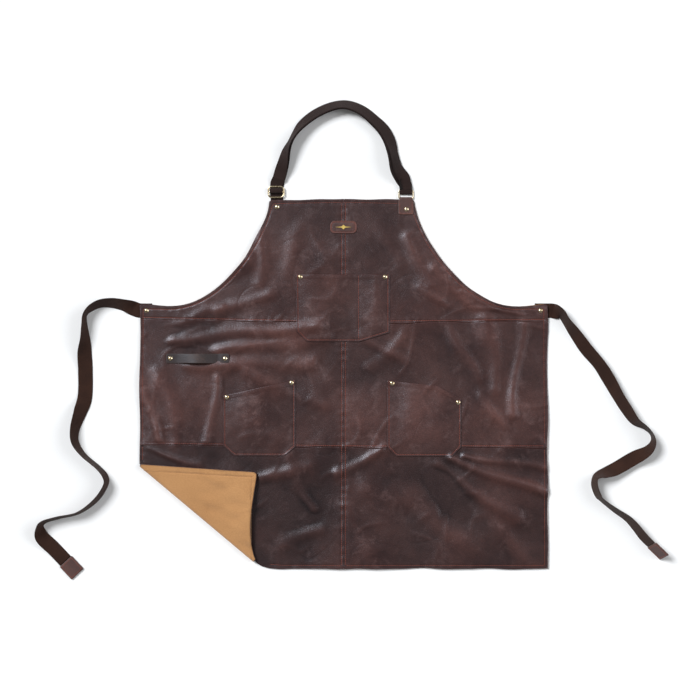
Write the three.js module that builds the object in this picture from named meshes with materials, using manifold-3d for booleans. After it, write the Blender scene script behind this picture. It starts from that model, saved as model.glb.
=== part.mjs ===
// Butcher apron in leather with a twill lining, laid flat with its leather face up.
// Millimetres, +Z up. The origin is on the surface that the apron lies on, under the
// middle of its body; +Y runs towards the neck and +X to the right of the leather face.
import * as THREE from "three";
import { mergeVertices } from "three/addons/utils/BufferGeometryUtils.js";
import Module from "manifold-3d";

const wasm = await Module();
wasm.setup();

// ---- Driving dimensions -------------------------------------------------------------

// body outline
const BODY_LENGTH = 738; // hem to bib top
const HEM_WIDTH = 816;
const WAIST_WIDTH = 812;
const BIB_LEFT = 148; // bib corner to the centre seam, left
const BIB_RIGHT = 141; // and right
const BIB_CORNER_DROP = 2.5; // the bib's corners lie this much below its middle
const ARMHOLE_DEPTH = 210; // bib top down to the flat stretch at the waist
const ARMHOLE_END = 366; // where the armhole curve meets that stretch, from the centre
const WAIST_CORNER_RISE = 2; // the flat stretch rises this much to the tie

// seams, as heights below the bib top
const WAIST_SEAM = 248; // at the centre
const WAIST_SEAM_LEFT_RISE = 8;
const WAIST_SEAM_RIGHT_RISE = 4;
const SKIRT_SEAM = 496;
const SKIRT_SEAM_LEFT_RISE = 6;

// sheet thicknesses and gaps
const LINING = 1.4;
const LEATHER = 1.8;
const TRIM = 1.6; // pockets, towel loop, patch
const GAP = 0.3; // between pieces that touch
const WEBBING = 1.4; // as thick as the lining, so that a sewn-in end fills its notch

// turned-over corner of the left skirt
const FOLD_START = 205; // left side, above the hem
const FOLD_END = 232; // hem, from the left side
const FOLD_RISE = 11; // how far the fold's end has crept above the hem
const FOLD_RADIUS = 6; // outside of the roll
const FLAP_ALONG = 187; // tip of the flap, measured along the fold
const FLAP_ACROSS = 141; // and square to it
const FLAP_DROP = 4.2; // the flap sinks this much from the roll to its tip

// pockets
const POCKET_ROOM = 5; // clear depth inside
const SEWN_MARGIN = 8; // flat sewn border
const RIVET_MARGIN = 18; // flat width beside a riveted corner
const CHEST = { left: -95, right: 92, top: 218, bottom: 84, leftCut: 20, rightCut: 60, rise: 18 };
const PEN_STITCH = 30; // divider of the pen slot, from the centre seam
const PEN_WALL = 3;
const HIP_LEFT = { left: -240, right: -95.6, topLeft: -23.5, topRight: 8.3, bottom: -143.5, cut: 22 };
const HIP_RIGHT = { left: 87.2, right: 234.6, topLeft: 7, topRight: -31, bottom: -144.5, cut: 18 };
const HIP_SLOPE_START = 187; // where the right hip pocket's mouth begins to slope

// rivets
const RIVET_RADIUS = 4.5;
const RIVET_HEIGHT = 2.2;
const POST_RADIUS = 1.6;
const BACK_RADIUS = 4.2;
const BACK_CAP = 1.1;

// towel loop
const LOOP_LEFT = -353.5;
const LOOP_LENGTH = 126;
const LOOP_WIDTH = 19.5;
const LOOP_Y = 50.6;
const LOOP_FOOT = 16;
const LOOP_BOW = 9;
const LOOP_RIVET = 8.4; // rivet from each end

// name patch and its ornament
const PATCH_LENGTH = 53;
const PATCH_WIDTH = 24.5;
const PATCH_CORNER = 9;
const PATCH_Y = 312.5;
const EMBLEM_LENGTH = 34;
const EMBLEM_HEIGHT = 9;
const EMBLEM_THICK = 0.5;

// strap hardware
const STRAP_WIDTH = 25;
const RING_WIRE = 2.2;
const RING_WIDTH = STRAP_WIDTH + 2 * RING_WIRE + 1; // outside
const RING_LENGTH = 18.4; // outside
const RING_X = 124.6;
const TAB_WIDTH = RING_WIDTH + 0.2;
const TAB_NECK = STRAP_WIDTH - 1;
const TAB_LENGTH = 30; // below the bib top
const TAB_THICK = 1.4;
const TAB_RIVET = 18.4; // below the bib top
const SLIDER_WIRE = 3.2;
const SLIDER_WIDTH = STRAP_WIDTH + 2 * SLIDER_WIRE + 2;
const SLIDER_LENGTH = 24.6;
const SLIDER_THICK = 2.6;
const SLIDER_CORNER = 8;
const SLIDER_X = -134.5;
const SLIDER_ABOVE = 16.2; // slider's centre above the bib top
const STRAP_TAIL = 28; // sewn under the bib
const BIB_RIVET = 13.6; // below the bib top
const LOOP_SEWN_END = 20; // the return's end, folded back under itself at the slider

// waist ties
const TIE_WIDTH = 29;
const TIE_TAIL = 26; // sewn under the waist corner
const TIE_RIVET = 13; // inboard of the side
const TIP_LENGTH = 35;
const TIP_WIDTH = 33;
const TIP_THICK = 4;
const TIE_LIFT = 0.3; // lowest edge of a webbing that stands on edge

// ---- Values worked out from them -----------------------------------------------------

const TOP = BODY_LENGTH / 2;
const BIB_CORNER = TOP - BIB_CORNER_DROP;
const HEM = -BODY_LENGTH / 2;
const HALF_WAIST = WAIST_WIDTH / 2;
const HALF_HEM = HEM_WIDTH / 2;
const ARMHOLE_Y = TOP - ARMHOLE_DEPTH;
const WAIST_CORNER_Y = ARMHOLE_Y + WAIST_CORNER_RISE;
const LEATHER_LOW = LINING + GAP;
const FACE = LEATHER_LOW + LEATHER; // upper face of the leather
const TRIM_LOW = FACE + GAP;
const TRIM_FACE = TRIM_LOW + TRIM;
const TIE_Y = ARMHOLE_Y - 13;
const RING_BAR_Y = BIB_CORNER + 3.2; // lower bar, and the line that the neck loop swings on
const RING_TOP_BAR_Y = RING_BAR_Y + RING_LENGTH - RING_WIRE;
const SLIDER_Y = BIB_CORNER + SLIDER_ABOVE;
const RUN_Z = WEBBING / 2 + TIE_LIFT; // centre of webbing lying flat on the surface
const SLIDER_TURN = SLIDER_THICK / 2 + GAP + WEBBING / 2; // the return's turn round the centre bar
const SLIDER_Z = RUN_Z + WEBBING + GAP + SLIDER_TURN;
const RING_TURN = RING_WIRE / 2 + GAP + WEBBING / 2; // the strap's turn round the upper bar
const RING_Z = RUN_Z + RING_TURN;
const TAB_LOOP = RING_Z; // outer radius of the tab where it goes round the lower bar

// ---- Materials -----------------------------------------------------------------------

const finish = (color, roughness, metalness = 0) =>
  new THREE.MeshStandardMaterial({ color, roughness, metalness });
const leather = finish(0x4e3e3e, 0.55);
const trimLeather = finish(0x5a3c34, 0.55);
const twill = finish(0xbe915f, 0.95);
const neckWebbing = finish(0x231c1c, 0.9);
const waistWebbing = finish(0x32201a, 0.9);
const brass = finish(0xc8b48c, 0.3, 1);
const foil = finish(0xb8923c, 0.35, 1);

// ---- Shared shapes --------------------------------------------------------------------

const apron = new THREE.Group();

function addMesh(name, geometry, material) {
  const mesh = new THREE.Mesh(geometry, material);
  mesh.name = name;
  apron.add(mesh);
  return mesh;
}

/** A closed geometry as a manifold solid. */
function solid(geometry) {
  const bare = geometry.clone();
  bare.deleteAttribute("normal");
  bare.deleteAttribute("uv");
  const merged = mergeVertices(bare, 1e-4);
  return new wasm.Manifold(
    new wasm.Mesh({
      numProp: 3,
      vertProperties: new Float32Array(merged.attributes.position.array),
      triVerts: new Uint32Array(merged.index.array),
    }),
  );
}

/** A manifold solid as a geometry. */
function geometryOf(manifold) {
  const mesh = manifold.getMesh();
  const geometry = new THREE.BufferGeometry();
  geometry.setAttribute("position", new THREE.BufferAttribute(mesh.vertProperties, 3));
  geometry.setIndex(new THREE.BufferAttribute(mesh.triVerts, 1));
  geometry.computeVertexNormals();
  return geometry;
}

/** A flat plate of a plan outline, from one height to another. */
function plate(shape, low, high) {
  const geometry = new THREE.ExtrudeGeometry(shape, {
    depth: high - low,
    bevelEnabled: false,
    curveSegments: 12,
  });
  return geometry.translate(0, 0, low);
}

const polygon = (points) => new THREE.Shape(points.map(([x, y]) => new THREE.Vector2(x, y)));

function box(x0, y0, z0, x1, y1, z1) {
  const geometry = new THREE.BoxGeometry(x1 - x0, y1 - y0, z1 - z0);
  return geometry.translate((x0 + x1) / 2, (y0 + y1) / 2, (z0 + z1) / 2);
}

function roundedRectangle(width, height, radius) {
  const shape = new THREE.Shape();
  const x = width / 2 - radius;
  const y = height / 2 - radius;
  shape.absarc(x, y, radius, 0, Math.PI / 2);
  shape.absarc(-x, y, radius, Math.PI / 2, Math.PI);
  shape.absarc(-x, -y, radius, Math.PI, (3 * Math.PI) / 2);
  shape.absarc(x, -y, radius, (3 * Math.PI) / 2, 2 * Math.PI);
  return shape;
}

/** An upright round peg, for rivets and for the holes that they pass through. */
function peg(x, y, radius, low, high, sides = 16) {
  const geometry = new THREE.CylinderGeometry(radius, radius, high - low, sides);
  return geometry.rotateX(Math.PI / 2).translate(x, y, (low + high) / 2);
}

const smooth = (t) => {
  const c = Math.min(1, Math.max(0, t));
  return c * c * (3 - 2 * c);
};

// ---- Rivet places ---------------------------------------------------------------------

// Each rivet goes down through everything at its place; seat is the face under its cap.
const rivets = [
  { name: "bib_strap", x: -132.8, y: BIB_CORNER - BIB_RIVET, seat: FACE },
  { name: "ring_tab", x: RING_X + 1, y: BIB_CORNER - TAB_RIVET, seat: TRIM_LOW + TAB_THICK },
  { name: "waist_left", x: -HALF_WAIST + TIE_RIVET, y: TIE_Y, seat: FACE },
  { name: "waist_right", x: HALF_WAIST - TIE_RIVET, y: TIE_Y, seat: FACE },
  { name: "chest_left", x: CHEST.left + 9, y: CHEST.top - 5, seat: TRIM_FACE },
  { name: "chest_right", x: CHEST.right - 9, y: CHEST.top - 5, seat: TRIM_FACE },
  { name: "hip_left_outer", x: HIP_LEFT.left + 7.5, y: HIP_LEFT.topLeft - 3, seat: TRIM_FACE },
  { name: "hip_left_inner", x: HIP_LEFT.right - 8, y: HIP_LEFT.topRight - 6, seat: TRIM_FACE },
  { name: "hip_right_inner", x: HIP_RIGHT.left + 10, y: HIP_RIGHT.topLeft - 6, seat: TRIM_FACE },
  { name: "hip_right_outer", x: HIP_RIGHT.right - 6, y: HIP_RIGHT.topRight - 6, seat: TRIM_FACE },
  { name: "towel_loop_left", x: LOOP_LEFT + LOOP_RIVET, y: LOOP_Y, seat: TRIM_FACE },
  { name: "towel_loop_right", x: LOOP_LEFT + LOOP_LENGTH - LOOP_RIVET, y: LOOP_Y, seat: TRIM_FACE },
];

/** The piece with a hole at each rivet inside the given plan box. */
function pierced(piece, radius) {
  let result = piece;
  const bounds = piece.boundingBox();
  for (const rivet of rivets) {
    const inX = rivet.x > bounds.min[0] && rivet.x < bounds.max[0];
    const inY = rivet.y > bounds.min[1] && rivet.y < bounds.max[1];
    if (inX && inY) {
      result = result.subtract(solid(peg(rivet.x, rivet.y, radius, -5, 30)));
    }
  }
  return result;
}

// ---- Leather panels and lining ---------------------------------------------------------

/** Half-width of the body at a height: it widens slightly from the waist to the hem. */
const halfWidth = (y) =>
  HALF_WAIST + ((HALF_HEM - HALF_WAIST) * (WAIST_CORNER_Y - y)) / (WAIST_CORNER_Y - HEM);

/** One armhole from the bib corner to the waist corner, for side -1 (left) or +1 (right). */
function armhole(side) {
  const corner = side < 0 ? BIB_LEFT : BIB_RIGHT;
  const curve = new THREE.CubicBezierCurve(
    new THREE.Vector2(corner, BIB_CORNER - 2.5),
    new THREE.Vector2(corner + 10, TOP - 0.34 * ARMHOLE_DEPTH),
    new THREE.Vector2(ARMHOLE_END * 0.664, ARMHOLE_Y - 18),
    new THREE.Vector2(ARMHOLE_END, ARMHOLE_Y - 3),
  );
  const points = [[corner - 3, BIB_CORNER], ...curve.getPoints(16).map((p) => [p.x, p.y])];
  points.push([HALF_WAIST - 4, WAIST_CORNER_Y - 1], [HALF_WAIST, WAIST_CORNER_Y - 5]);
  return points.map(([x, y]) => [side * x, y]);
}

const waistSeamY = (side) => TOP - WAIST_SEAM + (side < 0 ? WAIST_SEAM_LEFT_RISE : WAIST_SEAM_RIGHT_RISE);
const skirtSeamY = (side) => TOP - SKIRT_SEAM + (side < 0 ? SKIRT_SEAM_LEFT_RISE : 0);

/** The fold: start on the left side, unit vector along it, and unit vector to the inside. */
const foldStart = new THREE.Vector2(-halfWidth(HEM + FOLD_START), HEM + FOLD_START);
const foldFinish = new THREE.Vector2(-HALF_HEM + FOLD_END, HEM + FOLD_RISE);
const foldLength = foldStart.distanceTo(foldFinish);
const foldAlong = foldFinish.clone().sub(foldStart).divideScalar(foldLength);
const foldInside = new THREE.Vector2(-foldAlong.y, foldAlong.x);
const atFold = (along, inside) => [
  foldStart.x + along * foldAlong.x + inside * foldInside.x,
  foldStart.y + along * foldAlong.y + inside * foldInside.y,
];
/** The flap narrows from the whole fold to its tip. */
const flapStart = (inside) => (FLAP_ALONG * inside) / FLAP_ACROSS;
const flapEnd = (inside) => foldLength - ((foldLength - FLAP_ALONG) * inside) / FLAP_ACROSS;

/** The corner of the outline where the fold cuts it, from the left side to the hem. */
function foldedEdge() {
  const [x0, y0] = atFold(0, FOLD_RADIUS);
  const onSide = y0 + ((halfWidth(y0) + x0) * -foldAlong.y) / foldAlong.x;
  return [
    [-halfWidth(onSide), onSide],
    atFold(flapEnd(FOLD_RADIUS), FOLD_RADIUS),
    [foldFinish.x + 27, HEM + 2],
    [foldFinish.x + 54, HEM],
  ];
}

/**
 * The rolled corner of one sheet: rows of four corners that run along the fold, first
 * round the roll and then over the flap, skinned and closed at both ends.
 */
function turnedCorner(inner, outer) {
  const rows = [];
  const addRow = (inside, low, high, from, to) => {
    const ends = [
      [atFold(from, inside[0]), low],
      [atFold(to, inside[0]), low],
      [atFold(to, inside[1]), high],
      [atFold(from, inside[1]), high],
    ];
    rows.push(ends.map(([[x, y], z]) => [x, y, z]));
  };
  const from = flapStart(FOLD_RADIUS);
  const to = flapEnd(FOLD_RADIUS);
  addRow([FOLD_RADIUS + 1, FOLD_RADIUS + 1], FOLD_RADIUS - outer, FOLD_RADIUS - inner, from, to);
  const turns = 8;
  for (let i = 0; i <= turns; i++) {
    const angle = (Math.PI * i) / turns;
    const reach = [FOLD_RADIUS - outer * Math.sin(angle), FOLD_RADIUS - inner * Math.sin(angle)];
    addRow(reach, FOLD_RADIUS - outer * Math.cos(angle), FOLD_RADIUS - inner * Math.cos(angle), from, to);
  }
  const flapRows = 8;
  const blunt = 0.96; // the tip is rounded off
  for (let i = 1; i <= flapRows; i++) {
    const inside = FOLD_RADIUS + ((FLAP_ACROSS * blunt - FOLD_RADIUS) * i) / flapRows;
    const drop = FLAP_DROP * smooth((inside - FOLD_RADIUS) / (FLAP_ACROSS / 2));
    addRow(
      [inside, inside],
      FOLD_RADIUS + outer - drop,
      FOLD_RADIUS + inner - drop,
      flapStart(inside),
      flapEnd(inside),
    );
  }
  const index = [];
  for (let r = 0; r + 1 < rows.length; r++) {
    for (let c = 0; c < 4; c++) {
      const a = 4 * r + c;
      const b = 4 * r + ((c + 1) % 4);
      index.push(a, b, b + 4, a, b + 4, a + 4);
    }
  }
  const last = 4 * (rows.length - 1);
  index.push(0, 2, 1, 0, 3, 2, last, last + 1, last + 2, last, last + 2, last + 3);
  const geometry = new THREE.BufferGeometry();
  geometry.setAttribute("position", new THREE.Float32BufferAttribute(rows.flat(2), 3));
  geometry.setIndex(index);
  return solid(geometry);
}

const half = GAP / 2;

function bibPanel(side) {
  const seam = waistSeamY(side);
  const points = [
    [side * half, TOP],
    ...armhole(side),
    [side * halfWidth(seam), seam + half],
    [side * half, TOP - WAIST_SEAM + half],
  ];
  return pierced(solid(plate(polygon(points), LEATHER_LOW, FACE)), POST_RADIUS + GAP);
}

function waistPanel(side) {
  const upper = waistSeamY(side);
  const lower = skirtSeamY(side);
  const points = [
    [side * half, TOP - WAIST_SEAM - half],
    [side * halfWidth(upper), upper - half],
    [side * halfWidth(lower), lower + half],
    [side * half, TOP - SKIRT_SEAM + half],
  ];
  return pierced(solid(plate(polygon(points), LEATHER_LOW, FACE)), POST_RADIUS + GAP);
}

function skirtPanel(side) {
  const upper = skirtSeamY(side);
  const corner = side < 0 ? foldedEdge() : [[HALF_HEM, HEM]];
  const points = [
    [side * half, TOP - SKIRT_SEAM - half],
    [side * halfWidth(upper), upper - half],
    ...corner,
    [side * half, HEM],
  ];
  const flat = solid(plate(polygon(points), LEATHER_LOW, FACE));
  return side < 0 ? flat.add(turnedCorner(FOLD_RADIUS - FACE, FOLD_RADIUS - LEATHER_LOW)) : flat;
}

for (const [side, name] of [
  [-1, "left"],
  [1, "right"],
]) {
  addMesh(`bib_panel_${name}`, geometryOf(bibPanel(side)), leather);
  addMesh(`waist_panel_${name}`, geometryOf(waistPanel(side)), leather);
  addMesh(`skirt_panel_${name}`, geometryOf(skirtPanel(side)), leather);
}

/** Notches in the lining for what is sewn in between it and the leather. */
function tailNotches() {
  const strapX = rivets[0].x;
  const notch = (x0, y0, x1, y1) => solid(box(x0, y0, -1, x1, y1, LINING + 1));
  const strap = STRAP_WIDTH / 2 + GAP;
  const tab = TAB_WIDTH / 2 + GAP;
  const tie = TIE_WIDTH / 2 + GAP;
  return [
    notch(strapX - strap, BIB_CORNER - STRAP_TAIL - GAP, strapX + strap, TOP + 1),
    notch(RING_X - tab, BIB_CORNER - TAB_LENGTH - GAP, RING_X + tab, TOP + 1),
    notch(-HALF_WAIST - 9, TIE_Y - tie, -HALF_WAIST + TIE_TAIL + GAP, TIE_Y + tie),
    notch(HALF_WAIST - TIE_TAIL - GAP, TIE_Y - tie, HALF_WAIST + 9, TIE_Y + tie),
  ];
}

const liningOutline = [
  [0, TOP],
  ...armhole(-1),
  ...foldedEdge(),
  [HALF_HEM, HEM],
  ...armhole(1).reverse(),
];
let lining = solid(plate(polygon(liningOutline), 0, LINING));
lining = lining.add(turnedCorner(FOLD_RADIUS - LINING, FOLD_RADIUS));
for (const notch of tailNotches()) {
  lining = lining.subtract(notch);
}
addMesh("lining", geometryOf(pierced(lining, BACK_RADIUS + GAP)), twill);

// ---- Pockets ---------------------------------------------------------------------------

/**
 * A patch pocket: a flat sewn border, a raised front over the room inside, and an open
 * mouth at the top. rooms are the plan outlines of the spaces inside, mouth side first.
 */
function pocket(outline, rooms) {
  let piece = solid(plate(polygon(outline), TRIM_LOW, TRIM_FACE));
  for (const room of rooms) {
    piece = piece.add(solid(plate(polygon(room.outside), TRIM_LOW, TRIM_FACE + POCKET_ROOM)));
  }
  for (const room of rooms) {
    piece = piece.subtract(solid(plate(polygon(room.inside), TRIM_LOW - 1, TRIM_LOW + POCKET_ROOM)));
  }
  return pierced(piece, POST_RADIUS + GAP);
}

/** One room between two sides, from a floor up to a mouth line that may slope. */
function room(left, right, floor, mouth) {
  const past = 3; // the cut runs out through the mouth
  return {
    outside: [
      [left, floor],
      [right, floor],
      [right, mouth(right)],
      [left, mouth(left)],
    ],
    inside: [
      [left + TRIM, floor + TRIM],
      [right - TRIM, floor + TRIM],
      [right - TRIM, mouth(right) + past],
      [left + TRIM, mouth(left) + past],
    ],
  };
}

const chestMouth = () => CHEST.top;
const chestOutline = [
  [CHEST.left, CHEST.top],
  [CHEST.left + 1.6, CHEST.bottom + CHEST.leftCut],
  [CHEST.left + 22, CHEST.bottom],
  [CHEST.right - CHEST.rightCut, CHEST.bottom],
  [CHEST.right, CHEST.bottom + CHEST.rise],
  [CHEST.right, CHEST.top],
];
const chestFloor = CHEST.bottom + CHEST.leftCut + SEWN_MARGIN;
addMesh(
  "chest_pocket",
  geometryOf(
    pocket(chestOutline, [
      room(CHEST.left + RIVET_MARGIN, PEN_STITCH - PEN_WALL / 2, chestFloor, chestMouth),
      room(PEN_STITCH + PEN_WALL / 2, CHEST.right - RIVET_MARGIN, chestFloor, chestMouth),
    ]),
  ),
  leather,
);

/** The left hip pocket's mouth slopes all the way. */
const hipLeftMouth = (x) =>
  HIP_LEFT.topLeft +
  ((HIP_LEFT.topRight - HIP_LEFT.topLeft) * (x - HIP_LEFT.left)) / (HIP_LEFT.right - HIP_LEFT.left);
addMesh(
  "hip_pocket_left",
  geometryOf(
    pocket(
      [
        [HIP_LEFT.left, HIP_LEFT.topLeft],
        [HIP_LEFT.left, HIP_LEFT.bottom + 20],
        [HIP_LEFT.left + HIP_LEFT.cut, HIP_LEFT.bottom],
        [HIP_LEFT.right - HIP_LEFT.cut, HIP_LEFT.bottom],
        [HIP_LEFT.right, HIP_LEFT.bottom + 18],
        [HIP_LEFT.right, HIP_LEFT.topRight],
      ],
      [
        room(
          HIP_LEFT.left + RIVET_MARGIN,
          HIP_LEFT.right - RIVET_MARGIN,
          HIP_LEFT.bottom + SEWN_MARGIN,
          hipLeftMouth,
        ),
      ],
    ),
  ),
  leather,
);

/** The right hip pocket's mouth is level, then slopes to the outside. */
const hipRightLevel = HIP_RIGHT.topLeft - 11;
const hipRightMouth = (x) => {
  const level =
    HIP_RIGHT.topLeft +
    ((hipRightLevel - HIP_RIGHT.topLeft) * (x - HIP_RIGHT.left)) / (HIP_SLOPE_START - HIP_RIGHT.left);
  const slope = (HIP_RIGHT.topRight - hipRightLevel) / (HIP_RIGHT.right - HIP_SLOPE_START);
  return x < HIP_SLOPE_START ? level : hipRightLevel + slope * (x - HIP_SLOPE_START);
};
const hipRightRoom = room(
  HIP_RIGHT.left + RIVET_MARGIN,
  HIP_RIGHT.right - RIVET_MARGIN,
  HIP_RIGHT.bottom + SEWN_MARGIN,
  hipRightMouth,
);
hipRightRoom.outside.splice(3, 0, [HIP_SLOPE_START, hipRightLevel]);
hipRightRoom.inside.splice(3, 0, [HIP_SLOPE_START, hipRightLevel + 3]);
addMesh(
  "hip_pocket_right",
  geometryOf(
    pocket(
      [
        [HIP_RIGHT.left, HIP_RIGHT.topLeft],
        [HIP_RIGHT.left, HIP_RIGHT.bottom + 18],
        [HIP_RIGHT.left + HIP_RIGHT.cut, HIP_RIGHT.bottom],
        [HIP_RIGHT.right - HIP_RIGHT.cut, HIP_RIGHT.bottom],
        [HIP_RIGHT.right, HIP_RIGHT.bottom + 18],
        [HIP_RIGHT.right, HIP_RIGHT.topRight],
        [HIP_SLOPE_START, hipRightLevel],
      ],
      [hipRightRoom],
    ),
  ),
  leather,
);

// ---- Towel loop, patch and ornament ------------------------------------------------------

/** The towel loop's side view: flat feet, and a bow between them. */
function towelLoop() {
  const span = LOOP_LENGTH - 2 * LOOP_FOOT;
  const steps = 24;
  const bow = (x) => LOOP_BOW * Math.sin(Math.PI * Math.min(1, Math.max(0, (x - LOOP_FOOT) / span))) ** 2;
  const xs = [0];
  for (let i = 0; i <= steps; i++) {
    xs.push(LOOP_FOOT + (span * i) / steps);
  }
  xs.push(LOOP_LENGTH);
  const under = xs.map((x) => [x, bow(x)]);
  const over = xs.map((x) => [x, bow(x) + TRIM]).reverse();
  const geometry = new THREE.ExtrudeGeometry(polygon([...under, ...over]), {
    depth: LOOP_WIDTH,
    bevelEnabled: false,
  });
  return geometry.rotateX(Math.PI / 2).translate(LOOP_LEFT, LOOP_Y + LOOP_WIDTH / 2, TRIM_LOW);
}
addMesh("towel_loop", geometryOf(pierced(solid(towelLoop()), POST_RADIUS + GAP)), trimLeather);

const patch = plate(roundedRectangle(PATCH_LENGTH, PATCH_WIDTH, PATCH_CORNER), TRIM_LOW, TRIM_FACE);
addMesh("name_patch", patch.translate(0, PATCH_Y, 0), trimLeather);

// a plain lozenge between two tapering bars
const emblem = polygon([
  [-EMBLEM_LENGTH / 2, 0],
  [-EMBLEM_HEIGHT / 2 - 2, -0.8],
  [-EMBLEM_HEIGHT / 2, -0.8],
  [0, -EMBLEM_HEIGHT / 2],
  [EMBLEM_HEIGHT / 2, -0.8],
  [EMBLEM_HEIGHT / 2 + 2, -0.8],
  [EMBLEM_LENGTH / 2, 0],
  [EMBLEM_HEIGHT / 2 + 2, 0.8],
  [EMBLEM_HEIGHT / 2, 0.8],
  [0, EMBLEM_HEIGHT / 2],
  [-EMBLEM_HEIGHT / 2, 0.8],
  [-EMBLEM_HEIGHT / 2 - 2, 0.8],
]);
const emblemLow = TRIM_FACE + GAP;
const emblemPlate = plate(emblem, emblemLow, emblemLow + EMBLEM_THICK);
addMesh("patch_ornament", emblemPlate.translate(0, PATCH_Y, 0), foil);

// ---- Rivets ------------------------------------------------------------------------------

/** Domed cap with the post under it, turned about its own axis. */
function rivetBody(seat) {
  const underCap = seat + GAP;
  const postEnd = BACK_CAP + GAP;
  const profile = [new THREE.Vector2(0, postEnd), new THREE.Vector2(POST_RADIUS, postEnd)];
  profile.push(new THREE.Vector2(POST_RADIUS, underCap));
  const steps = 4;
  for (let i = 0; i < steps; i++) {
    const angle = ((Math.PI / 2) * i) / steps;
    const rise = RIVET_HEIGHT * Math.sin(angle);
    profile.push(new THREE.Vector2(RIVET_RADIUS * Math.cos(angle), underCap + rise));
  }
  profile.push(new THREE.Vector2(0, underCap + RIVET_HEIGHT));
  return new THREE.LatheGeometry(profile, 16).rotateX(Math.PI / 2);
}

for (const rivet of rivets) {
  addMesh(`rivet_${rivet.name}`, geometryOf(solid(rivetBody(rivet.seat))), brass).position.set(
    rivet.x,
    rivet.y,
    0,
  );
  addMesh(`rivet_back_${rivet.name}`, peg(rivet.x, rivet.y, BACK_RADIUS, 0, BACK_CAP), brass);
}

// ---- Strap ring, its tab, and the slider ----------------------------------------------------

/** A flat wire frame with softened edges, centred on the origin. */
function wireFrame(outline, windows, thickness) {
  for (const window of windows) {
    outline.holes.push(window);
  }
  const bevel = 0.6;
  const geometry = new THREE.ExtrudeGeometry(outline, {
    depth: thickness - 2 * bevel,
    bevelEnabled: true,
    bevelThickness: bevel,
    bevelSize: bevel,
    bevelOffset: -bevel,
    bevelSegments: 2,
    curveSegments: 6,
  });
  return geometry.translate(0, 0, bevel - thickness / 2);
}

const ringWindow = roundedRectangle(RING_WIDTH - 2 * RING_WIRE, RING_LENGTH - 2 * RING_WIRE, 0.4);
const ring = wireFrame(roundedRectangle(RING_WIDTH, RING_LENGTH, 3.5), [ringWindow], RING_WIRE);
addMesh("strap_ring", ring, brass).position.set(RING_X, (RING_BAR_Y + RING_TOP_BAR_Y) / 2, RING_Z);

/** The tab's side view: back leg on the surface, a turn round the bar, front leg on the leather. */
function tabStrip() {
  const shape = new THREE.Shape();
  const end = BIB_CORNER - RING_BAR_Y - TAB_LENGTH;
  const frontLow = TRIM_LOW;
  const blend = BIB_CORNER - RING_BAR_Y - 3;
  shape.moveTo(end, 0);
  shape.lineTo(0, 0);
  shape.absarc(0, TAB_LOOP, TAB_LOOP, -Math.PI / 2, Math.PI / 2, false);
  shape.lineTo(blend, frontLow + TAB_THICK);
  shape.lineTo(end, frontLow + TAB_THICK);
  shape.lineTo(end, frontLow);
  shape.lineTo(blend, frontLow);
  shape.lineTo(0, 2 * TAB_LOOP - TAB_THICK);
  shape.absarc(0, TAB_LOOP, TAB_LOOP - TAB_THICK, Math.PI / 2, -Math.PI / 2, true);
  shape.lineTo(end, TAB_THICK);
  const geometry = new THREE.ExtrudeGeometry(shape, {
    depth: TAB_WIDTH,
    bevelEnabled: false,
    curveSegments: 10,
  });
  // the side view's x becomes Y, its y becomes Z, and the depth runs along X
  geometry.rotateX(Math.PI / 2).rotateZ(Math.PI / 2);
  return solid(geometry.translate(RING_X - TAB_WIDTH / 2, RING_BAR_Y, 0));
}

/** Narrowed where it passes through the ring, so that the ring's sides can swing past it. */
function ringTab() {
  const shoulder = BIB_CORNER - 6;
  const side = (TAB_WIDTH - TAB_NECK) / 2;
  const past = RING_X + TAB_WIDTH / 2;
  const before = RING_X - TAB_WIDTH / 2;
  return tabStrip()
    .subtract(solid(box(before - 1, shoulder, -1, before + side, RING_BAR_Y + 9, 20)))
    .subtract(solid(box(past - side, shoulder, -1, past + 1, RING_BAR_Y + 9, 20)));
}
const tabHole = peg(rivets[1].x, rivets[1].y, POST_RADIUS + GAP, LINING + 1, 20);
const tabBackHole = peg(rivets[1].x, rivets[1].y, BACK_RADIUS + GAP, -1, LINING + 1);
addMesh(
  "ring_tab",
  geometryOf(ringTab().subtract(solid(tabHole)).subtract(solid(tabBackHole))),
  trimLeather,
);

/** Three bars: the webbing's return is sewn round the middle one. */
const windowLength = (SLIDER_LENGTH - 2 * SLIDER_WIRE - SLIDER_THICK) / 2;
function sliderWindow(side) {
  const centre = (side * (windowLength + SLIDER_THICK)) / 2;
  const points = roundedRectangle(SLIDER_WIDTH - 2 * SLIDER_WIRE, windowLength, 0.8).getPoints(4);
  return new THREE.Path(points.map((p) => new THREE.Vector2(p.x, p.y + centre)));
}
const slider = wireFrame(
  roundedRectangle(SLIDER_WIDTH, SLIDER_LENGTH, SLIDER_CORNER),
  [sliderWindow(-1), sliderWindow(1)],
  SLIDER_THICK,
);
addMesh("strap_slider", slider, brass).position.set(SLIDER_X, SLIDER_Y, SLIDER_Z);

// ---- Webbing ---------------------------------------------------------------------------------

/** A flat band's route: points, each with the direction of the band's width. */
class BandPath extends THREE.Curve {
  constructor(samples) {
    super();
    this.samples = samples;
  }

  getSpacedPoints() {
    return this.samples.map((sample) => sample.p);
  }

  computeFrenetFrames() {
    const frames = { tangents: [], normals: [], binormals: [] };
    const last = this.samples.length - 1;
    this.samples.forEach((sample, i) => {
      const before = this.samples[Math.max(0, i - 1)].p;
      const after = this.samples[Math.min(last, i + 1)].p;
      const tangent = after.clone().sub(before).normalize();
      const width = sample.w.clone().addScaledVector(tangent, -sample.w.dot(tangent)).normalize();
      frames.tangents.push(tangent);
      frames.normals.push(width);
      frames.binormals.push(tangent.clone().cross(width));
    });
    return frames;
  }
}

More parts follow.
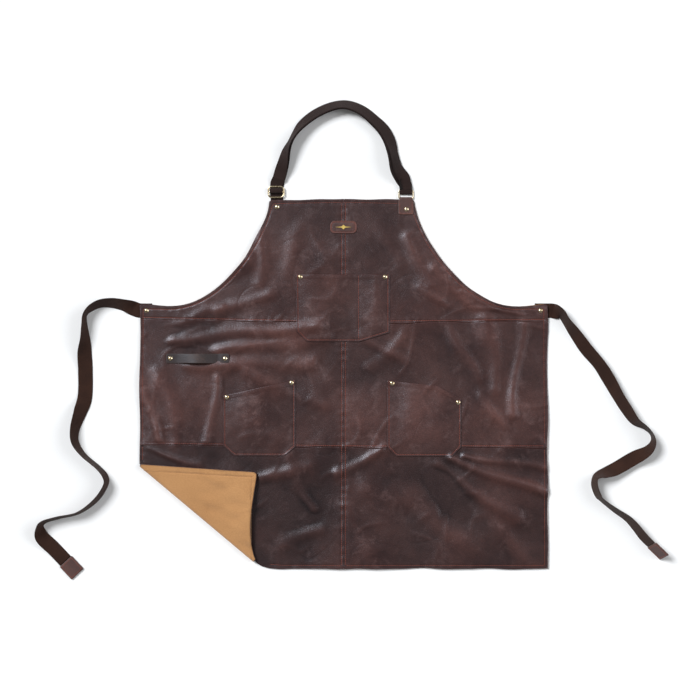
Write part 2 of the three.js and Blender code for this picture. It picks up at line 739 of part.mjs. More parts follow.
/** A uniform Catmull-Rom curve through rows of any length, sampled between its points. */
function throughRows(rows, perStep) {
  const samples = [];
  const row = (i) => rows[Math.min(rows.length - 1, Math.max(0, i))];
  for (let i = 0; i + 1 < rows.length; i++) {
    for (let k = 0; k < perStep; k++) {
      const t = k / perStep;
      samples.push(
        rows[0].map((_, c) => {
          const [a, b, d, e] = [row(i - 1)[c], row(i)[c], row(i + 1)[c], row(i + 2)[c]];
          const slopes = (d - a) * t + (2 * a - 5 * b + 4 * d - e) * t * t;
          return b + 0.5 * (slopes + (3 * b - a - 3 * d + e) * t * t * t);
        }),
      );
    }
  }
  samples.push(rows[rows.length - 1]);
  return samples;
}

/**
 * Samples of a band from rows of x, y, turn (degrees), and then apart and fan for a second
 * layer. The turn tips the band about its own run: at 0 it lies flat, at 90 it stands on
 * edge, with its right-hand edge (seen along the run) down, or its left-hand edge where
 * handed is -1. The band rests on its lower edge.
 */
function laidBand(rows, width, layer, handed = 1) {
  const dense = throughRows(rows, 3);
  return dense.map(([x, y, turn, apart = 0, fan = 0], i) => {
    const a = dense[Math.max(0, i - 1)];
    const b = dense[Math.min(dense.length - 1, i + 1)];
    const run = new THREE.Vector3(b[0] - a[0], b[1] - a[1], 0).normalize();
    const right = new THREE.Vector3(run.y, -run.x, 0).multiplyScalar(handed);
    const tip = THREE.MathUtils.degToRad(Math.max(0, turn));
    const w = right.clone().multiplyScalar(Math.cos(tip)).setZ(-Math.sin(tip));
    const up = right.clone().multiplyScalar(Math.sin(tip)).setZ(Math.cos(tip));
    const edge = (width / 2 + Math.abs(fan) / 2) * Math.abs(Math.sin(tip));
    const rest = edge + (WEBBING / 2) * Math.abs(Math.cos(tip)) + TIE_LIFT;
    const p = new THREE.Vector3(x, y, rest);
    p.addScaledVector(w, layer === 0 ? -fan / 2 : fan / 2);
    p.addScaledVector(up, layer === 0 ? 0 : apart);
    return { p, w };
  });
}

/** A half turn of the band round a bar that runs along X, from under it to over it. */
function roundBar(x, y, z, radius, widthSign) {
  const samples = [];
  const steps = 8;
  for (let i = 0; i <= steps; i++) {
    const angle = (Math.PI * i) / steps;
    const p = new THREE.Vector3(
      x,
      y - radius * Math.sin(angle),
      z - radius * Math.cos(angle),
    );
    samples.push({ p, w: new THREE.Vector3(widthSign, 0, 0) });
  }
  return samples;
}

function band(samples, width) {
  const section = polygon([
    [-width / 2, -WEBBING / 2],
    [width / 2, -WEBBING / 2],
    [width / 2, WEBBING / 2],
    [-width / 2, WEBBING / 2],
  ]);
  return new THREE.ExtrudeGeometry(section, {
    steps: samples.length - 1,
    extrudePath: new BandPath(samples),
  });
}

// The neck strap's route from the slider up over the arch and down to the ring, as
// x, height above the bib top, turn, distance between the two layers, and sideways fan.
const LAYERS_AT_SLIDER = SLIDER_Z + SLIDER_TURN - RUN_Z;
const LAYERS_AT_RING = RING_Z + RING_TURN - RUN_Z;
const SPREAD = 1.6 * (WEBBING - 1.4) + 0.35 * (STRAP_WIDTH - 25); // more for a bigger webbing
const LAYERS = 3 + SPREAD;
const LAYERS_IN_TWIST = 4.6 + SPREAD; // where the turn changes quickly
const neckRoute = [
  [-133.2, 16, 0, LAYERS_AT_SLIDER, 0],
  [-131.6, 29, 0, LAYERS_AT_SLIDER, 0],
  [-128.3, 44, 0, 6 + SPREAD, 0],
  [-124, 57, 10, 5.4 + SPREAD, 0],
  [-118.8, 72, 30, LAYERS_IN_TWIST, 0],
  [-111.5, 97, 56, LAYERS_IN_TWIST, 0],
  [-104.5, 113.5, 70, 3.6 + SPREAD, 0],
  [-96, 130, 66, LAYERS, 0],
  [-82, 149, 50, LAYERS, 0],
  [-60, 167, 44, LAYERS, 0],
  [-33, 181, 44, LAYERS, 0],
  [-6.4, 188, 46, LAYERS, 0],
  [15, 186, 42, LAYERS, 0],
  [38, 176, 38, LAYERS, 0],
  [59, 159, 34, LAYERS, 1],
  [79, 139, 28, LAYERS, 2],
  [91, 116, 34, LAYERS, 3],
  [97.6, 89, 48, LAYERS, 5],
  [105, 61, 36, LAYERS, 6],
  [116.5, 44, 12, 3.4 + SPREAD, 5],
  [123.4, 32.5, 0, 4 + SPREAD, 1],
  [124.6, 23.5, 0, LAYERS_AT_RING, 0],
].map(([x, above, ...rest]) => [x, BIB_CORNER + above, ...rest]);

const ringTurn = roundBar(RING_X, RING_TOP_BAR_Y, RING_Z, RING_TURN, 1);
const atRing = (y, z) => ({ p: new THREE.Vector3(RING_X, y, z), w: new THREE.Vector3(1, 0, 0) });
const atSlider = (x, y, z) => ({
  p: new THREE.Vector3(x, y, z),
  w: new THREE.Vector3(-1, 0, 0),
});

// sewn-in end under the bib's corner, as far as the line that the loop swings on
const tailX = rivets[0].x;
const stub = solid(
  box(
    tailX - STRAP_WIDTH / 2,
    BIB_CORNER - STRAP_TAIL,
    0,
    tailX + STRAP_WIDTH / 2,
    RING_BAR_Y - half,
    WEBBING,
  ),
);
addMesh("neck_strap_end", geometryOf(pierced(stub, BACK_RADIUS + GAP)), neckWebbing);

// outer run: from the bib's corner under the slider, over the arch and round the ring's bar
const outerSamples = [
  atSlider(tailX, RING_BAR_Y + half, WEBBING / 2),
  atSlider(tailX, RING_BAR_Y + 4, RUN_Z),
  ...laidBand(neckRoute, STRAP_WIDTH, 0, -1),
  ...ringTurn,
  atRing(RING_TOP_BAR_Y + 1, RING_Z + RING_TURN),
];
addMesh("neck_strap", band(outerSamples, STRAP_WIDTH), neckWebbing);

// return run: from over the ring's bar back along the arch, round the slider's middle bar,
// with its end folded back under itself
const overSlider = SLIDER_Y + SLIDER_LENGTH / 2;
const returnSamples = [
  atRing(RING_TOP_BAR_Y + 1 + GAP, RING_Z + RING_TURN),
  ...laidBand(neckRoute, STRAP_WIDTH, 1, -1)
    .reverse()
    .filter((sample) => sample.p.y > overSlider),
  atSlider(SLIDER_X + 0.4, SLIDER_Y + 5, SLIDER_Z + SLIDER_TURN),
  ...roundBar(SLIDER_X, SLIDER_Y, SLIDER_Z, SLIDER_TURN, -1).reverse(),
  atSlider(SLIDER_X + 1, SLIDER_Y + LOOP_SEWN_END, SLIDER_Z - SLIDER_TURN),
];
addMesh("neck_strap_return", band(returnSamples, STRAP_WIDTH), neckWebbing);

// Waist ties: routes from the side of the apron, as distance out from the side, height
// above the tie's seat, and turn.
const leftTieRoute = [
  [-24, 0, 0],
  [-12, 0, 0],
  [2, 0.5, 0],
  [12, 4, 0],
  [28, 10, 34],
  [54, 15, 48],
  [78, 13.5, 58],
  [97, 4, 68],
  [108, -9, 80],
  [109, -29, 74],
  [108, -57, 54],
  [110, -86, 22],
  [109, -122, 3],
  [110, -172, 4],
  [118.6, -203, 34],
  [128, -235.5, 56],
  [127.5, -262, 68],
  [111, -287, 78],
  [83, -311, 80],
  [68, -329, 76],
  [66.5, -347, 76],
  [86, -377, 74],
  [121, -402.5, 78],
  [161, -412, 76],
  [190, -421, 74],
  [198, -433, 66],
  [194, -452, 28],
  [173, -474, 4],
  [148.5, -500, 0],
];
const rightTieRoute = [
  [-24, 0, 0],
  [-12, 0, 0],
  [2, 0, 0],
  [12, -0.5, 0],
  [27, -6, 54],
  [37, -21, 62],
  [54, -44, 46],
  [77, -76, 34],
  [102, -105.5, 38],
  [120, -133, 34],
  [140, -169, 44],
  [158, -197.5, 46],
  [174, -220, 58],
  [195, -233.5, 76],
  [208, -248, 84],
  [209.5, -264, 74],
  [198, -280, 52],
  [172, -294.5, 26],
  [136.5, -315, 30],
  [115, -323, 50],
  [103, -326.5, 64],
  [94.5, -333, 74],
  [93.5, -349, 70],
  [100.5, -368, 70],
  [108, -377, 76],
  [133, -396, 70],
  [159.5, -414, 64],
  [176, -431.5, 60],
  [191.5, -451, 57],
  [206.5, -466, 58],
];

/** The leather tip in line with the end of a tie, as a slab turned with it. */
function tip(samples) {
  const last = samples[samples.length - 1];
  const before = samples[samples.length - 2];
  const run = last.p.clone().sub(before.p).setZ(0).normalize();
  const w = last.w.clone().normalize();
  const up = run.clone().cross(w).normalize();
  const slab = new THREE.BoxGeometry(TIP_LENGTH, TIP_WIDTH, TIP_THICK);
  slab.applyMatrix4(new THREE.Matrix4().makeBasis(run, w, up));
  const place = last.p.clone().addScaledVector(run, TIP_LENGTH / 2 + GAP);
  slab.computeBoundingBox();
  place.z = TIE_LIFT - slab.boundingBox.min.z;
  return slab.translate(place.x, place.y, place.z);
}

for (const [name, side, route] of [
  ["left", -1, leftTieRoute],
  ["right", 1, rightTieRoute],
]) {
  const rows = route.map(([out, above, turn]) => [side * (HALF_WAIST + out), TIE_Y + above, turn]);
  const samples = laidBand(rows, TIE_WIDTH, 0, side).map((sample) => {
    // the sewn-in end lies on the surface, in the lining's notch
    const inset = HALF_WAIST - Math.abs(sample.p.x);
    sample.p.z -= TIE_LIFT * smooth((inset + 12) / 10);
    return sample;
  });
  const strip = solid(band(samples, TIE_WIDTH));
  addMesh(`waist_tie_${name}`, geometryOf(pierced(strip, BACK_RADIUS + GAP)), waistWebbing);
  addMesh(`tie_tip_${name}`, tip(samples), trimLeather);
}

export default apron;
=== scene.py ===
# Looks of a lined leather butcher apron, laid flat with its neck loop and ties spread out.
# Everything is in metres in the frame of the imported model: +Z up out of the leather face.

import bpy
import numpy as np
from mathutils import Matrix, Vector


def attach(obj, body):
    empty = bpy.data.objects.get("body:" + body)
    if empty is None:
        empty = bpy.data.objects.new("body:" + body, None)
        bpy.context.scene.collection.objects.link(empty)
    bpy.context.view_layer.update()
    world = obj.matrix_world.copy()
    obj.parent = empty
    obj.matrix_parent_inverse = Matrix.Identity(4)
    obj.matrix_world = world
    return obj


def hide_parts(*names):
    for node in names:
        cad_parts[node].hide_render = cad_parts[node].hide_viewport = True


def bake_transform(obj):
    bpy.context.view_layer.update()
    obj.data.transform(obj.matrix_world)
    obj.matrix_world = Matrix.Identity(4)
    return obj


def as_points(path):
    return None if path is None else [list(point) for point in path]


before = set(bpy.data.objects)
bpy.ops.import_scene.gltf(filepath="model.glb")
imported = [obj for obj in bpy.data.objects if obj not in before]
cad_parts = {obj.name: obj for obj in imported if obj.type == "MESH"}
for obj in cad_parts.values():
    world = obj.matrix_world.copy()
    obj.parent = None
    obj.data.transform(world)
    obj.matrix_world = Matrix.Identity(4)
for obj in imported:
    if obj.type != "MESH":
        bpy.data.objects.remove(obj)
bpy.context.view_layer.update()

# ---- Camera, floor and light ----
# The apron lies on a plain white floor, seen from straight above. Two soft lights stand far
# off at its left and right, so that the waxed leather shows its folds as pale sheens.

CAMERA_ABOVE = (0.013, 0.0675)
CAMERA_HEIGHT = 3.3
lens = bpy.data.cameras.new("camera")
lens.lens = 85
camera = bpy.data.objects.new("camera", lens)
camera.location = (*CAMERA_ABOVE, CAMERA_HEIGHT)
bpy.context.scene.collection.objects.link(camera)
bpy.context.scene.camera = camera
bpy.context.scene.view_settings.view_transform = "Standard"


def node(tree, kind, sockets=None, **options):
    """One shader node: options set its settings, sockets its inputs, by value or by link."""
    made = tree.nodes.new(kind if kind.startswith("Node") else "ShaderNode" + kind)
    for key, value in options.items():
        setattr(made, key, value)
    for key, value in (sockets or {}).items():
        if isinstance(value, bpy.types.NodeSocket):
            tree.links.new(value, made.inputs[key])
        else:
            made.inputs[key].default_value = value
    return made


def material(name, **values):
    """An empty material and its shader, with constant values on the shader's own sockets."""
    made = bpy.data.materials.new(name)
    made.use_nodes = True
    shader = made.node_tree.nodes["Principled BSDF"]
    for key, value in values.items():
        shader.inputs[key.replace("_", " ").title().replace("Ior", "IOR")].default_value = value
    return made, made.node_tree, shader


def join(tree, shader, **sockets):
    """Links from outputs to the shader's own sockets."""
    for key, source in sockets.items():
        tree.links.new(source, shader.inputs[key.replace("_", " ").title()])


def rgb(red, green, blue):
    """A linear colour from one given in 0 to 255 display steps."""
    c = np.array([red, green, blue]) / 255
    return (*np.where(c < 0.04, c / 12.92, ((c + 0.055) / 1.055) ** 2.4), 1.0)


def maths(tree, operation, a, b=0.5, c=0.5):
    return node(tree, "Math", {0: a, 1: b, 2: c}, operation=operation).outputs[0]


def here(tree):
    """Object coordinates, in metres."""
    return node(tree, "TexCoord").outputs["Object"]


def noise(tree, vector, scale, detail, **more):
    sockets = {"Vector": vector, "Scale": scale, "Detail": detail, **more}
    return node(tree, "TexNoise", sockets).outputs["Fac"]


def mix(tree, share, one, two, how="MIX"):
    sockets = {"Fac": share, "Color1": one, "Color2": two}
    return node(tree, "MixRGB", sockets, blend_type=how).outputs["Color"]


def span(tree, value, low, high, to_low=0.0, to_high=1.0):
    """The value's place between low and high, given out between to_low and to_high."""
    sockets = {"Value": value, "From Min": low, "From Max": high, "To Min": to_low, "To Max": to_high}
    return node(tree, "MapRange", sockets).outputs["Result"]


def bumps(tree, height, strength, distance):
    sockets = {"Height": height, "Strength": strength, "Distance": distance}
    return node(tree, "Bump", sockets).outputs["Normal"]


def soft_light(name, place, strength, spread):
    """A distant soft light that shines from a place towards the middle of the apron."""
    light = bpy.data.lights.new(name, "SUN")
    light.energy = strength
    light.angle = np.radians(spread)
    light.color = (0.95, 0.97, 1.0)
    made = bpy.data.objects.new(name, light)
    made.rotation_euler = Vector(place).to_track_quat("Z", "Y").to_euler()
    bpy.context.scene.collection.objects.link(made)


soft_light("soft_left", (-1.9, 1.5, 2.5), 3.5, 24)
soft_light("soft_right", (2.7, 0.5, 1.7), 1.3, 40)

# the backdrop is white to the camera, and dimmer to everything that it lights
world = bpy.data.worlds.new("studio")
world.use_nodes = True
backdrop = world.node_tree.nodes["Background"]
backdrop.inputs["Color"].default_value = (1, 1, 1, 1)
seen = node(world.node_tree, "LightPath").outputs["Is Camera Ray"]
bright = span(world.node_tree, seen, 0.0, 1.0, 0.2, 1.0)
world.node_tree.links.new(bright, backdrop.inputs["Strength"])
bpy.context.scene.world = world

floor_mesh = bpy.data.meshes.new("floor")
floor_mesh.from_pydata([(-9, -9, 0), (9, -9, 0), (9, 9, 0), (-9, 9, 0)], [], [(0, 1, 2, 3)])
floor = bpy.data.objects.new("floor", floor_mesh)
bpy.context.scene.collection.objects.link(floor)
floor_finish, tree, shader = material("floor_paper", roughness=0.9)
paper = node(tree, "TexNoise", {"Scale": 40.0}).outputs["Fac"]
join(tree, shader, base_color=mix(tree, paper, (0.90, 0.90, 0.89, 1), (0.92, 0.92, 0.915, 1)))
floor_mesh.materials.append(floor_finish)

# ---- Webbing: neck strap and waist ties ----
# Woven cotton webbing, 25 mm at the neck and 29 mm at the waist, 1.4 mm thick. The straps
# lie loose: their middles have tipped up on one edge. All ends are sewn or riveted in.

WEBBING = 1.4
NECK_WIDTH = 25.0
TIE_WIDTH = 29.0
BIB_CORNER = 366.5
HALF_WAIST = 406.0
TIE_Y = 146.0
RING_X, RING_TOP_BAR, RING_Z, RING_TURN = 124.6, 385.9, 3.1, 2.1
HINGE_Y = 369.7
SLIDER_X, SLIDER_Y, SLIDER_Z, SLIDER_TURN = -134.5, 382.7, 5.0, 2.3
UP = np.array([0.0, 0.0, 1.0])


def bell(d, wide):
    """exp(-(d / wide)^2)."""
    return np.exp(-((d / wide) ** 2))


def unit(v):
    return v / np.linalg.norm(v, axis=-1, keepdims=True)


def travelled(points):
    """How far along a line each of its points is."""
    return np.r_[0, np.cumsum(np.linalg.norm(np.diff(points, axis=0), axis=1))]


def circle(count):
    """Evenly spaced angles round a circle."""
    return np.linspace(0, 2 * np.pi, count + 1)[:-1]


def through(rows, steps=9):
    """Catmull-Rom between rows b and d, with a and e beyond them, as t goes from 0 to 1:
    b + ((d-a)t + (2a-5b+4d-e)t^2 + (3b-a-3d+e)t^3) / 2."""
    rows = np.asarray(rows, float)
    last = len(rows) - 1
    i = np.repeat(np.arange(last), steps)
    t = np.tile(np.arange(steps) / steps, last)[:, None]
    a, b, d, e = rows[np.maximum(i - 1, 0)], rows[i], rows[i + 1], rows[np.minimum(i + 2, last)]
    bend = (2 * a - 5 * b + 4 * d - e) * t**2 + (3 * b - a - 3 * d + e) * t**3
    return np.vstack([b + ((d - a) * t + bend) / 2, rows[-1:]])


def laid(rows, width, layer=0, handed=1):
    """Centres and width directions of a band from rows of x, y, turn, apart and fan. With
    r the level direction across the run, the width is r cos(turn) - Z sin(turn), and the
    centre stands width/2 sin(turn) up, so that the lower edge rests on the surface."""
    x, y, turn, apart, fan = through(rows).T
    run = np.stack([np.gradient(x), np.gradient(y)])
    run /= np.linalg.norm(run, axis=0)
    right = np.stack([run[1], -run[0], 0 * x], 1) * handed
    tip = np.radians(np.maximum(turn, 0))[:, None]
    w = right * np.cos(tip) - UP * np.sin(tip)
    up = right * np.sin(tip) + UP * np.cos(tip)
    rest = (width + np.abs(fan)[:, None]) / 2 * np.sin(tip) + WEBBING / 2 * np.cos(tip) + 0.3
    p = np.stack([x, y, 0 * x], 1) + UP * rest
    p += w * fan[:, None] * (0.5 if layer else -0.5) + up * (apart[:, None] if layer else 0)
    return np.hstack([p, w])


def around(x, y, z, radius, sign, steps=16):
    """Half a turn round a bar along X: y - r sin(a) and z - r cos(a), a from 0 to pi."""
    a = np.linspace(0, np.pi, steps + 1)[:, None]
    p = np.hstack([x + 0 * a, y - radius * np.sin(a), z - radius * np.cos(a)])
    return np.hstack([p, sign + 0 * a, 0 * a, 0 * a])


def straight(start, end, sign, steps):
    """A straight run, flat, with its width along X."""
    t = np.linspace(0, 1, steps + 1)[:, None]
    p = np.array(start) * (1 - t) + np.array(end) * t
    return np.hstack([p, sign + 0 * t, 0 * t, 0 * t])


def add(name, points, faces, finish, body, uv=None, rim=None):
    """A named piece from points in millimetres, with an optional UV and edge mask per point."""
    mesh = bpy.data.meshes.new(name)
    mesh.from_pydata(np.asarray(points) / 1000, [], [f.tolist() for f in faces])
    mesh.polygons.foreach_set("use_smooth", np.ones(len(mesh.polygons), bool))
    corner = np.zeros(len(mesh.loops), np.int32)
    mesh.loops.foreach_get("vertex_index", corner)
    if uv is not None:
        layer = mesh.uv_layers.new(name="laid")
        layer.data.foreach_set("uv", (np.asarray(uv)[corner] / 1000).ravel())
    if rim is not None:
        mask = mesh.attributes.new("rim", "FLOAT", "POINT")
        mask.data.foreach_set("value", np.asarray(rim, np.float32))
    mesh.materials.append(finish)
    mesh.validate()
    made = bpy.data.objects.new(name, mesh)
    bpy.context.scene.collection.objects.link(made)
    if body:
        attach(made, body)
    return made


def tube_faces(rings, around_it, closed=False):
    """Quads between neighbouring rings of a carried profile, and a fan at each open end."""
    ring, k = np.indices((rings if closed else rings - 1, around_it))
    this, next_one, nk = ring * around_it, (ring + 1) % rings * around_it, (k + 1) % around_it
    faces = list(np.stack([this + k, this + nk, next_one + nk, next_one + k], -1).reshape(-1, 4))
    if not closed:
        faces += [np.arange(around_it)[::-1], (rings - 1) * around_it + np.arange(around_it)]
    return faces


def band(name, samples, width, finish, body=None, thick=WEBBING):
    """A flat profile carried along the samples: across a from -1 to 1 its faces stand at
    +-T/2 (1 - |a|^12)^(1/2), with a slightly thicker selvedge at both edges."""
    keep = np.r_[True, np.linalg.norm(np.diff(samples[:, :3], axis=0), axis=1) > 0.05]
    width, thick = (np.broadcast_to(size, len(samples))[keep, None] for size in (width, thick))
    samples = samples[keep]
    p, w = samples[:, :3], samples[:, 3:]
    along = np.gradient(p, axis=0)
    along = unit(along)
    w = w - along * (w * along).sum(1, keepdims=True)
    w = unit(w)
    up = np.cross(along, w)
    a = np.array([-1, -0.985, -0.95, -0.9, -0.82, -0.6, -0.3, 0, 0.3, 0.6, 0.82, 0.9, 0.95, 0.985, 1])
    half = 0.5 * np.sqrt(np.maximum(0, 1 - np.abs(a) ** 12)) * (0.9 + 0.1 * (np.abs(a) > 0.85))
    across = np.r_[a, a[-2:0:-1]]
    height = np.r_[-half, half[-2:0:-1]]
    points = p[:, None] + w[:, None] * (across * width / 2)[..., None]
    points = points + up[:, None] * (height * thick)[..., None]
    length = travelled(p)
    uv = np.stack(np.broadcast_arrays(across * width / 2, length[:, None]), -1)
    faces = tube_faces(len(p), len(across))
    made = add(name, points.reshape(-1, 3), faces, finish, body, uv.reshape(-1, 2))
    return made, p / 1000, length[-1] / 1000


def group(name, inputs, outputs):
    """An empty node group of plain numbers, with its two end nodes."""
    made = bpy.data.node_groups.new(name, "ShaderNodeTree")
    for label in inputs:
        made.interface.new_socket(label, in_out="INPUT", socket_type="NodeSocketFloat")
    for label in outputs:
        made.interface.new_socket(label, in_out="OUTPUT", socket_type="NodeSocketFloat")
    return made, node(made, "NodeGroupInput").outputs, node(made, "NodeGroupOutput").inputs


# 1 on the crest of each rib and 0 between, for ribs that lean two ways
weave, weave_in, weave_out = group("rib_weave", ("Across", "Along", "Pitch"), ("Rib",))
turn_along, turn_across = (
    maths(weave, "DIVIDE", maths(weave, "MULTIPLY", weave_in[label], 6.2832), weave_in["Pitch"])
    for label in ("Along", "Across"))
one = maths(weave, "SINE", maths(weave, "ADD", turn_along, maths(weave, "MULTIPLY", turn_across, 0.5)))
lean = maths(weave, "SUBTRACT", turn_along, maths(weave, "MULTIPLY", turn_across, 1.5))
rib = maths(weave, "MAXIMUM", one, maths(weave, "SINE", lean))
weave.links.new(maths(weave, "MULTIPLY_ADD", rib, 0.5, 0.5), weave_out["Rib"])


def webbing_finish(name, dark, light, pitch):
    """Dark dusty cotton in a rib weave. The pitch is in metres."""
    made, tree, shader = material(
        name, roughness=0.9, sheen_weight=0.08, specular_ior_level=0.2)
    flat = node(tree, "SeparateXYZ", {0: node(tree, "UVMap", uv_map="laid").outputs[0]})
    ribs = node(tree, "Group", node_tree=weave)
    tree.links.new(flat.outputs["X"], ribs.inputs["Across"])
    tree.links.new(flat.outputs["Y"], ribs.inputs["Along"])
    ribs.inputs["Pitch"].default_value = pitch
    fade, fuzz = noise(tree, here(tree), 38.0, 4.0), noise(tree, here(tree), 900.0, 2.0)
    tone = maths(tree, "MULTIPLY_ADD", ribs.outputs["Rib"], 0.5, maths(tree, "MULTIPLY", fade, 0.6))
    colour = mix(tree, span(tree, tone, 0.15, 0.85), dark, light)
    high = maths(tree, "MULTIPLY_ADD", fuzz, 0.35, ribs.outputs["Rib"])
    join(tree, shader, base_color=colour, normal=bumps(tree, high, 0.8, 0.0004))
    return made


neck_finish = webbing_finish("neck_webbing", rgb(15, 9, 8), rgb(46, 31, 28), 0.0022)
tie_finish = webbing_finish("waist_webbing", rgb(24, 11, 8), rgb(56, 33, 23), 0.0026)
# x, height above the bib's corner, turn, distance between the two layers, sideways fan
neck_route = [
    [-133.2, 16, 0, 6.3, 0], [-131.6, 29, 0, 6.3, 0], [-128.3, 44, 0, 6, 0], [-124, 57, 10, 5.4, 0],
    [-118.8, 72, 30, 4.6, 0], [-111.5, 97, 56, 4.6, 0], [-104.5, 113.5, 70, 3.6, 0],
    [-96, 130, 66, 3, 0], [-82, 149, 50, 3, 0], [-60, 167, 44, 3, 0], [-33, 181, 44, 3, 0], [-6.4, 188, 46, 3, 0],
    [15, 186, 42, 3, 0], [38, 176, 38, 3, 0], [59, 159, 34, 3, 1], [79, 139, 28, 3, 2],
    [91, 116, 34, 3, 3], [97.6, 89, 48, 3, 5], [105, 61, 36, 3, 6], [116.5, 44, 12, 3.4, 5],
    [123.4, 32.5, 0, 4, 1], [124.6, 23.5, 0, 4.2, 0],
]
neck_rows = [[x, BIB_CORNER + above, turn, apart, fan] for x, above, turn, apart, fan in neck_route]

# the webbing's end loop hangs slack from the ring's upper bar
round_ring = around(RING_X, RING_TOP_BAR, RING_Z, RING_TURN, 1)
round_ring[:, 1] = RING_TOP_BAR - 3.8 * (RING_TOP_BAR - round_ring[:, 1])

outer = np.vstack([
    straight((-132.8, BIB_CORNER - 28, 0.7), (-132.8, HINGE_Y, 0.7), -1, 14),
    straight((-132.8, HINGE_Y + 0.5, 0.7), (-132.8, HINGE_Y + 4, 1.0), -1, 4),
    laid(neck_rows, NECK_WIDTH, 0, -1),
    round_ring,
    straight(
        (RING_X, RING_TOP_BAR, RING_Z + RING_TURN),
        (RING_X, RING_TOP_BAR + 1, RING_Z + RING_TURN), 1, 1),
])
neck_strap, neck_path, neck_length = band(
    "neck_strap_webbing", outer, NECK_WIDTH, neck_finish)
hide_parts("neck_strap_end", "neck_strap")
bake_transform(neck_strap)

back = laid(neck_rows, NECK_WIDTH, 1, -1)[::-1]
back = back[back[:, 1] > 408]
# under the slider's upper bar, then over its middle bar and round it
dip = through([
    back[-1, :3], [-133.1, 400.5, 3.7], [-133.8, 394.6, 2.5], [-134.1, 391.4, 2.9],
    [-134.4, 387, 6.3], [SLIDER_X, 384.2, 7.25],
])
dip = np.hstack([dip[1:], np.tile([-1.0, 0, 0], (len(dip) - 1, 1))])
return_samples = np.vstack([
    straight(
        (RING_X, RING_TOP_BAR + 1.3, RING_Z + RING_TURN),
        (RING_X, RING_TOP_BAR + 2, RING_Z + RING_TURN), 1, 1),
    back,
    dip,
    around(SLIDER_X, SLIDER_Y, SLIDER_Z, SLIDER_TURN, -1)[::-1],
    straight(
        (SLIDER_X, SLIDER_Y + 0.4, SLIDER_Z - SLIDER_TURN),
        (SLIDER_X, SLIDER_Y + 4, SLIDER_Z - SLIDER_TURN), -1, 4),
])
neck_return, return_path, return_length = band(
    "neck_strap_return_webbing", return_samples, NECK_WIDTH, neck_finish)
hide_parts("neck_strap_return")
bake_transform(neck_return)

# out from the side of the apron, height above the tie's seat, and turn
left_route = [
    [-24, 0, 0], [-12, 0, 0], [2, 0.5, 0], [12, 4, 0], [28, 10, 34], [54, 15, 48], [78, 13.5, 58],
    [97, 4, 68], [108, -9, 80], [109, -29, 74], [108, -57, 54], [110, -86, 22], [109, -122, 3],
    [110, -172, 4], [118.6, -203, 34], [128, -235.5, 56], [127.5, -262, 68], [111, -287, 78],
    [83, -311, 80], [68, -329, 76], [66.5, -347, 76], [86, -377, 74], [121, -402.5, 78],
    [161, -412, 76], [190, -421, 74], [198, -433, 66], [194, -452, 28], [173, -474, 4],
    [148.5, -500, 0],
]
right_route = [
    [-24, 0, 0], [-12, 0, 0], [2, 0, 0], [12, -0.5, 0], [27, -6, 54], [37, -21, 62], [54, -44, 46],
    [77, -76, 34], [102, -105.5, 38], [120, -133, 34], [140, -169, 44], [158, -197.5, 46],
    [174, -220, 58], [195, -233.5, 76], [208, -248, 84], [209.5, -264, 74], [198, -280, 52],
    [172, -294.5, 26], [136.5, -315, 30], [115, -323, 50], [103, -326.5, 64], [94.5, -333, 74],
    [93.5, -349, 70], [100.5, -368, 70], [108, -377, 76], [133, -396, 70], [159.5, -414, 64],
    [176, -431.5, 60], [191.5, -451, 57], [206.5, -466, 58],
]


def smooth(t):
    """A smooth step: 3t^2 - 2t^3 between 0 and 1."""
    t = np.clip(t, 0, 1)
    return t * t * (3 - 2 * t)


ties = {}
for name, side, route in (("left", -1, left_route), ("right", 1, right_route)):
    rows = [[side * (HALF_WAIST + out), TIE_Y + above, turn, 0, 0] for out, above, turn in route]
    samples = laid(rows, TIE_WIDTH, 0, side)
    samples[:, 2] -= 0.3 * smooth((HALF_WAIST - np.abs(samples[:, 0]) + 12) / 10)
    tie, path, length = band(
        f"waist_tie_{name}_webbing", samples, TIE_WIDTH, tie_finish, "apron")
    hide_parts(f"waist_tie_{name}")
    ties[name] = (tie, path, length, samples)

# ---- Leather body: six panels ----
# Waxed cow leather, 1.8 mm thick, cut as left and right bib, waist and skirt panels. The
# seams are lapped and sewn with rust thread, and the whole body lies in soft folds.

TOP, HEM = 369.0, -369.0
LEATHER_LOW, FACE = 1.7, 3.5
WAIST_SEAM = {-1: 129.0, 0: 121.0, 1: 125.0}
SKIRT_SEAM = {-1: -121.0, 0: -127.0, 1: -127.0}
FOLD_START = np.array([-407.23, -164.0])
FOLD_END = np.array([-176.0, -358.0])
FOLD_LENGTH = np.linalg.norm(FOLD_END - FOLD_START)
FOLD_ALONG = (FOLD_END - FOLD_START) / FOLD_LENGTH
FOLD_INSIDE = np.array([-FOLD_ALONG[1], FOLD_ALONG[0]])
FOLD_RADIUS = 6.0
FLAP_ALONG, FLAP_ACROSS, FLAP_DROP = 187.0, 141.0, 4.2
PATCH_Y = 312.5
SEAM_GAP = 0.15


def swell(x, y, size, seed):
    """Sum of twelve plane waves sin(kx x + ky y + phase) of random heading, about -1 to 1."""
    rng = np.random.default_rng(seed)
    heading, phase = rng.uniform(0, 6.283, (2, 12))
    number = 6.283 / (size * rng.uniform(0.7, 1.7, 12))
    kx, ky = number * np.cos(heading), number * np.sin(heading)
    return np.sin(np.multiply.outer(x, kx) + np.multiply.outer(y, ky) + phase).sum(-1) / 3.4


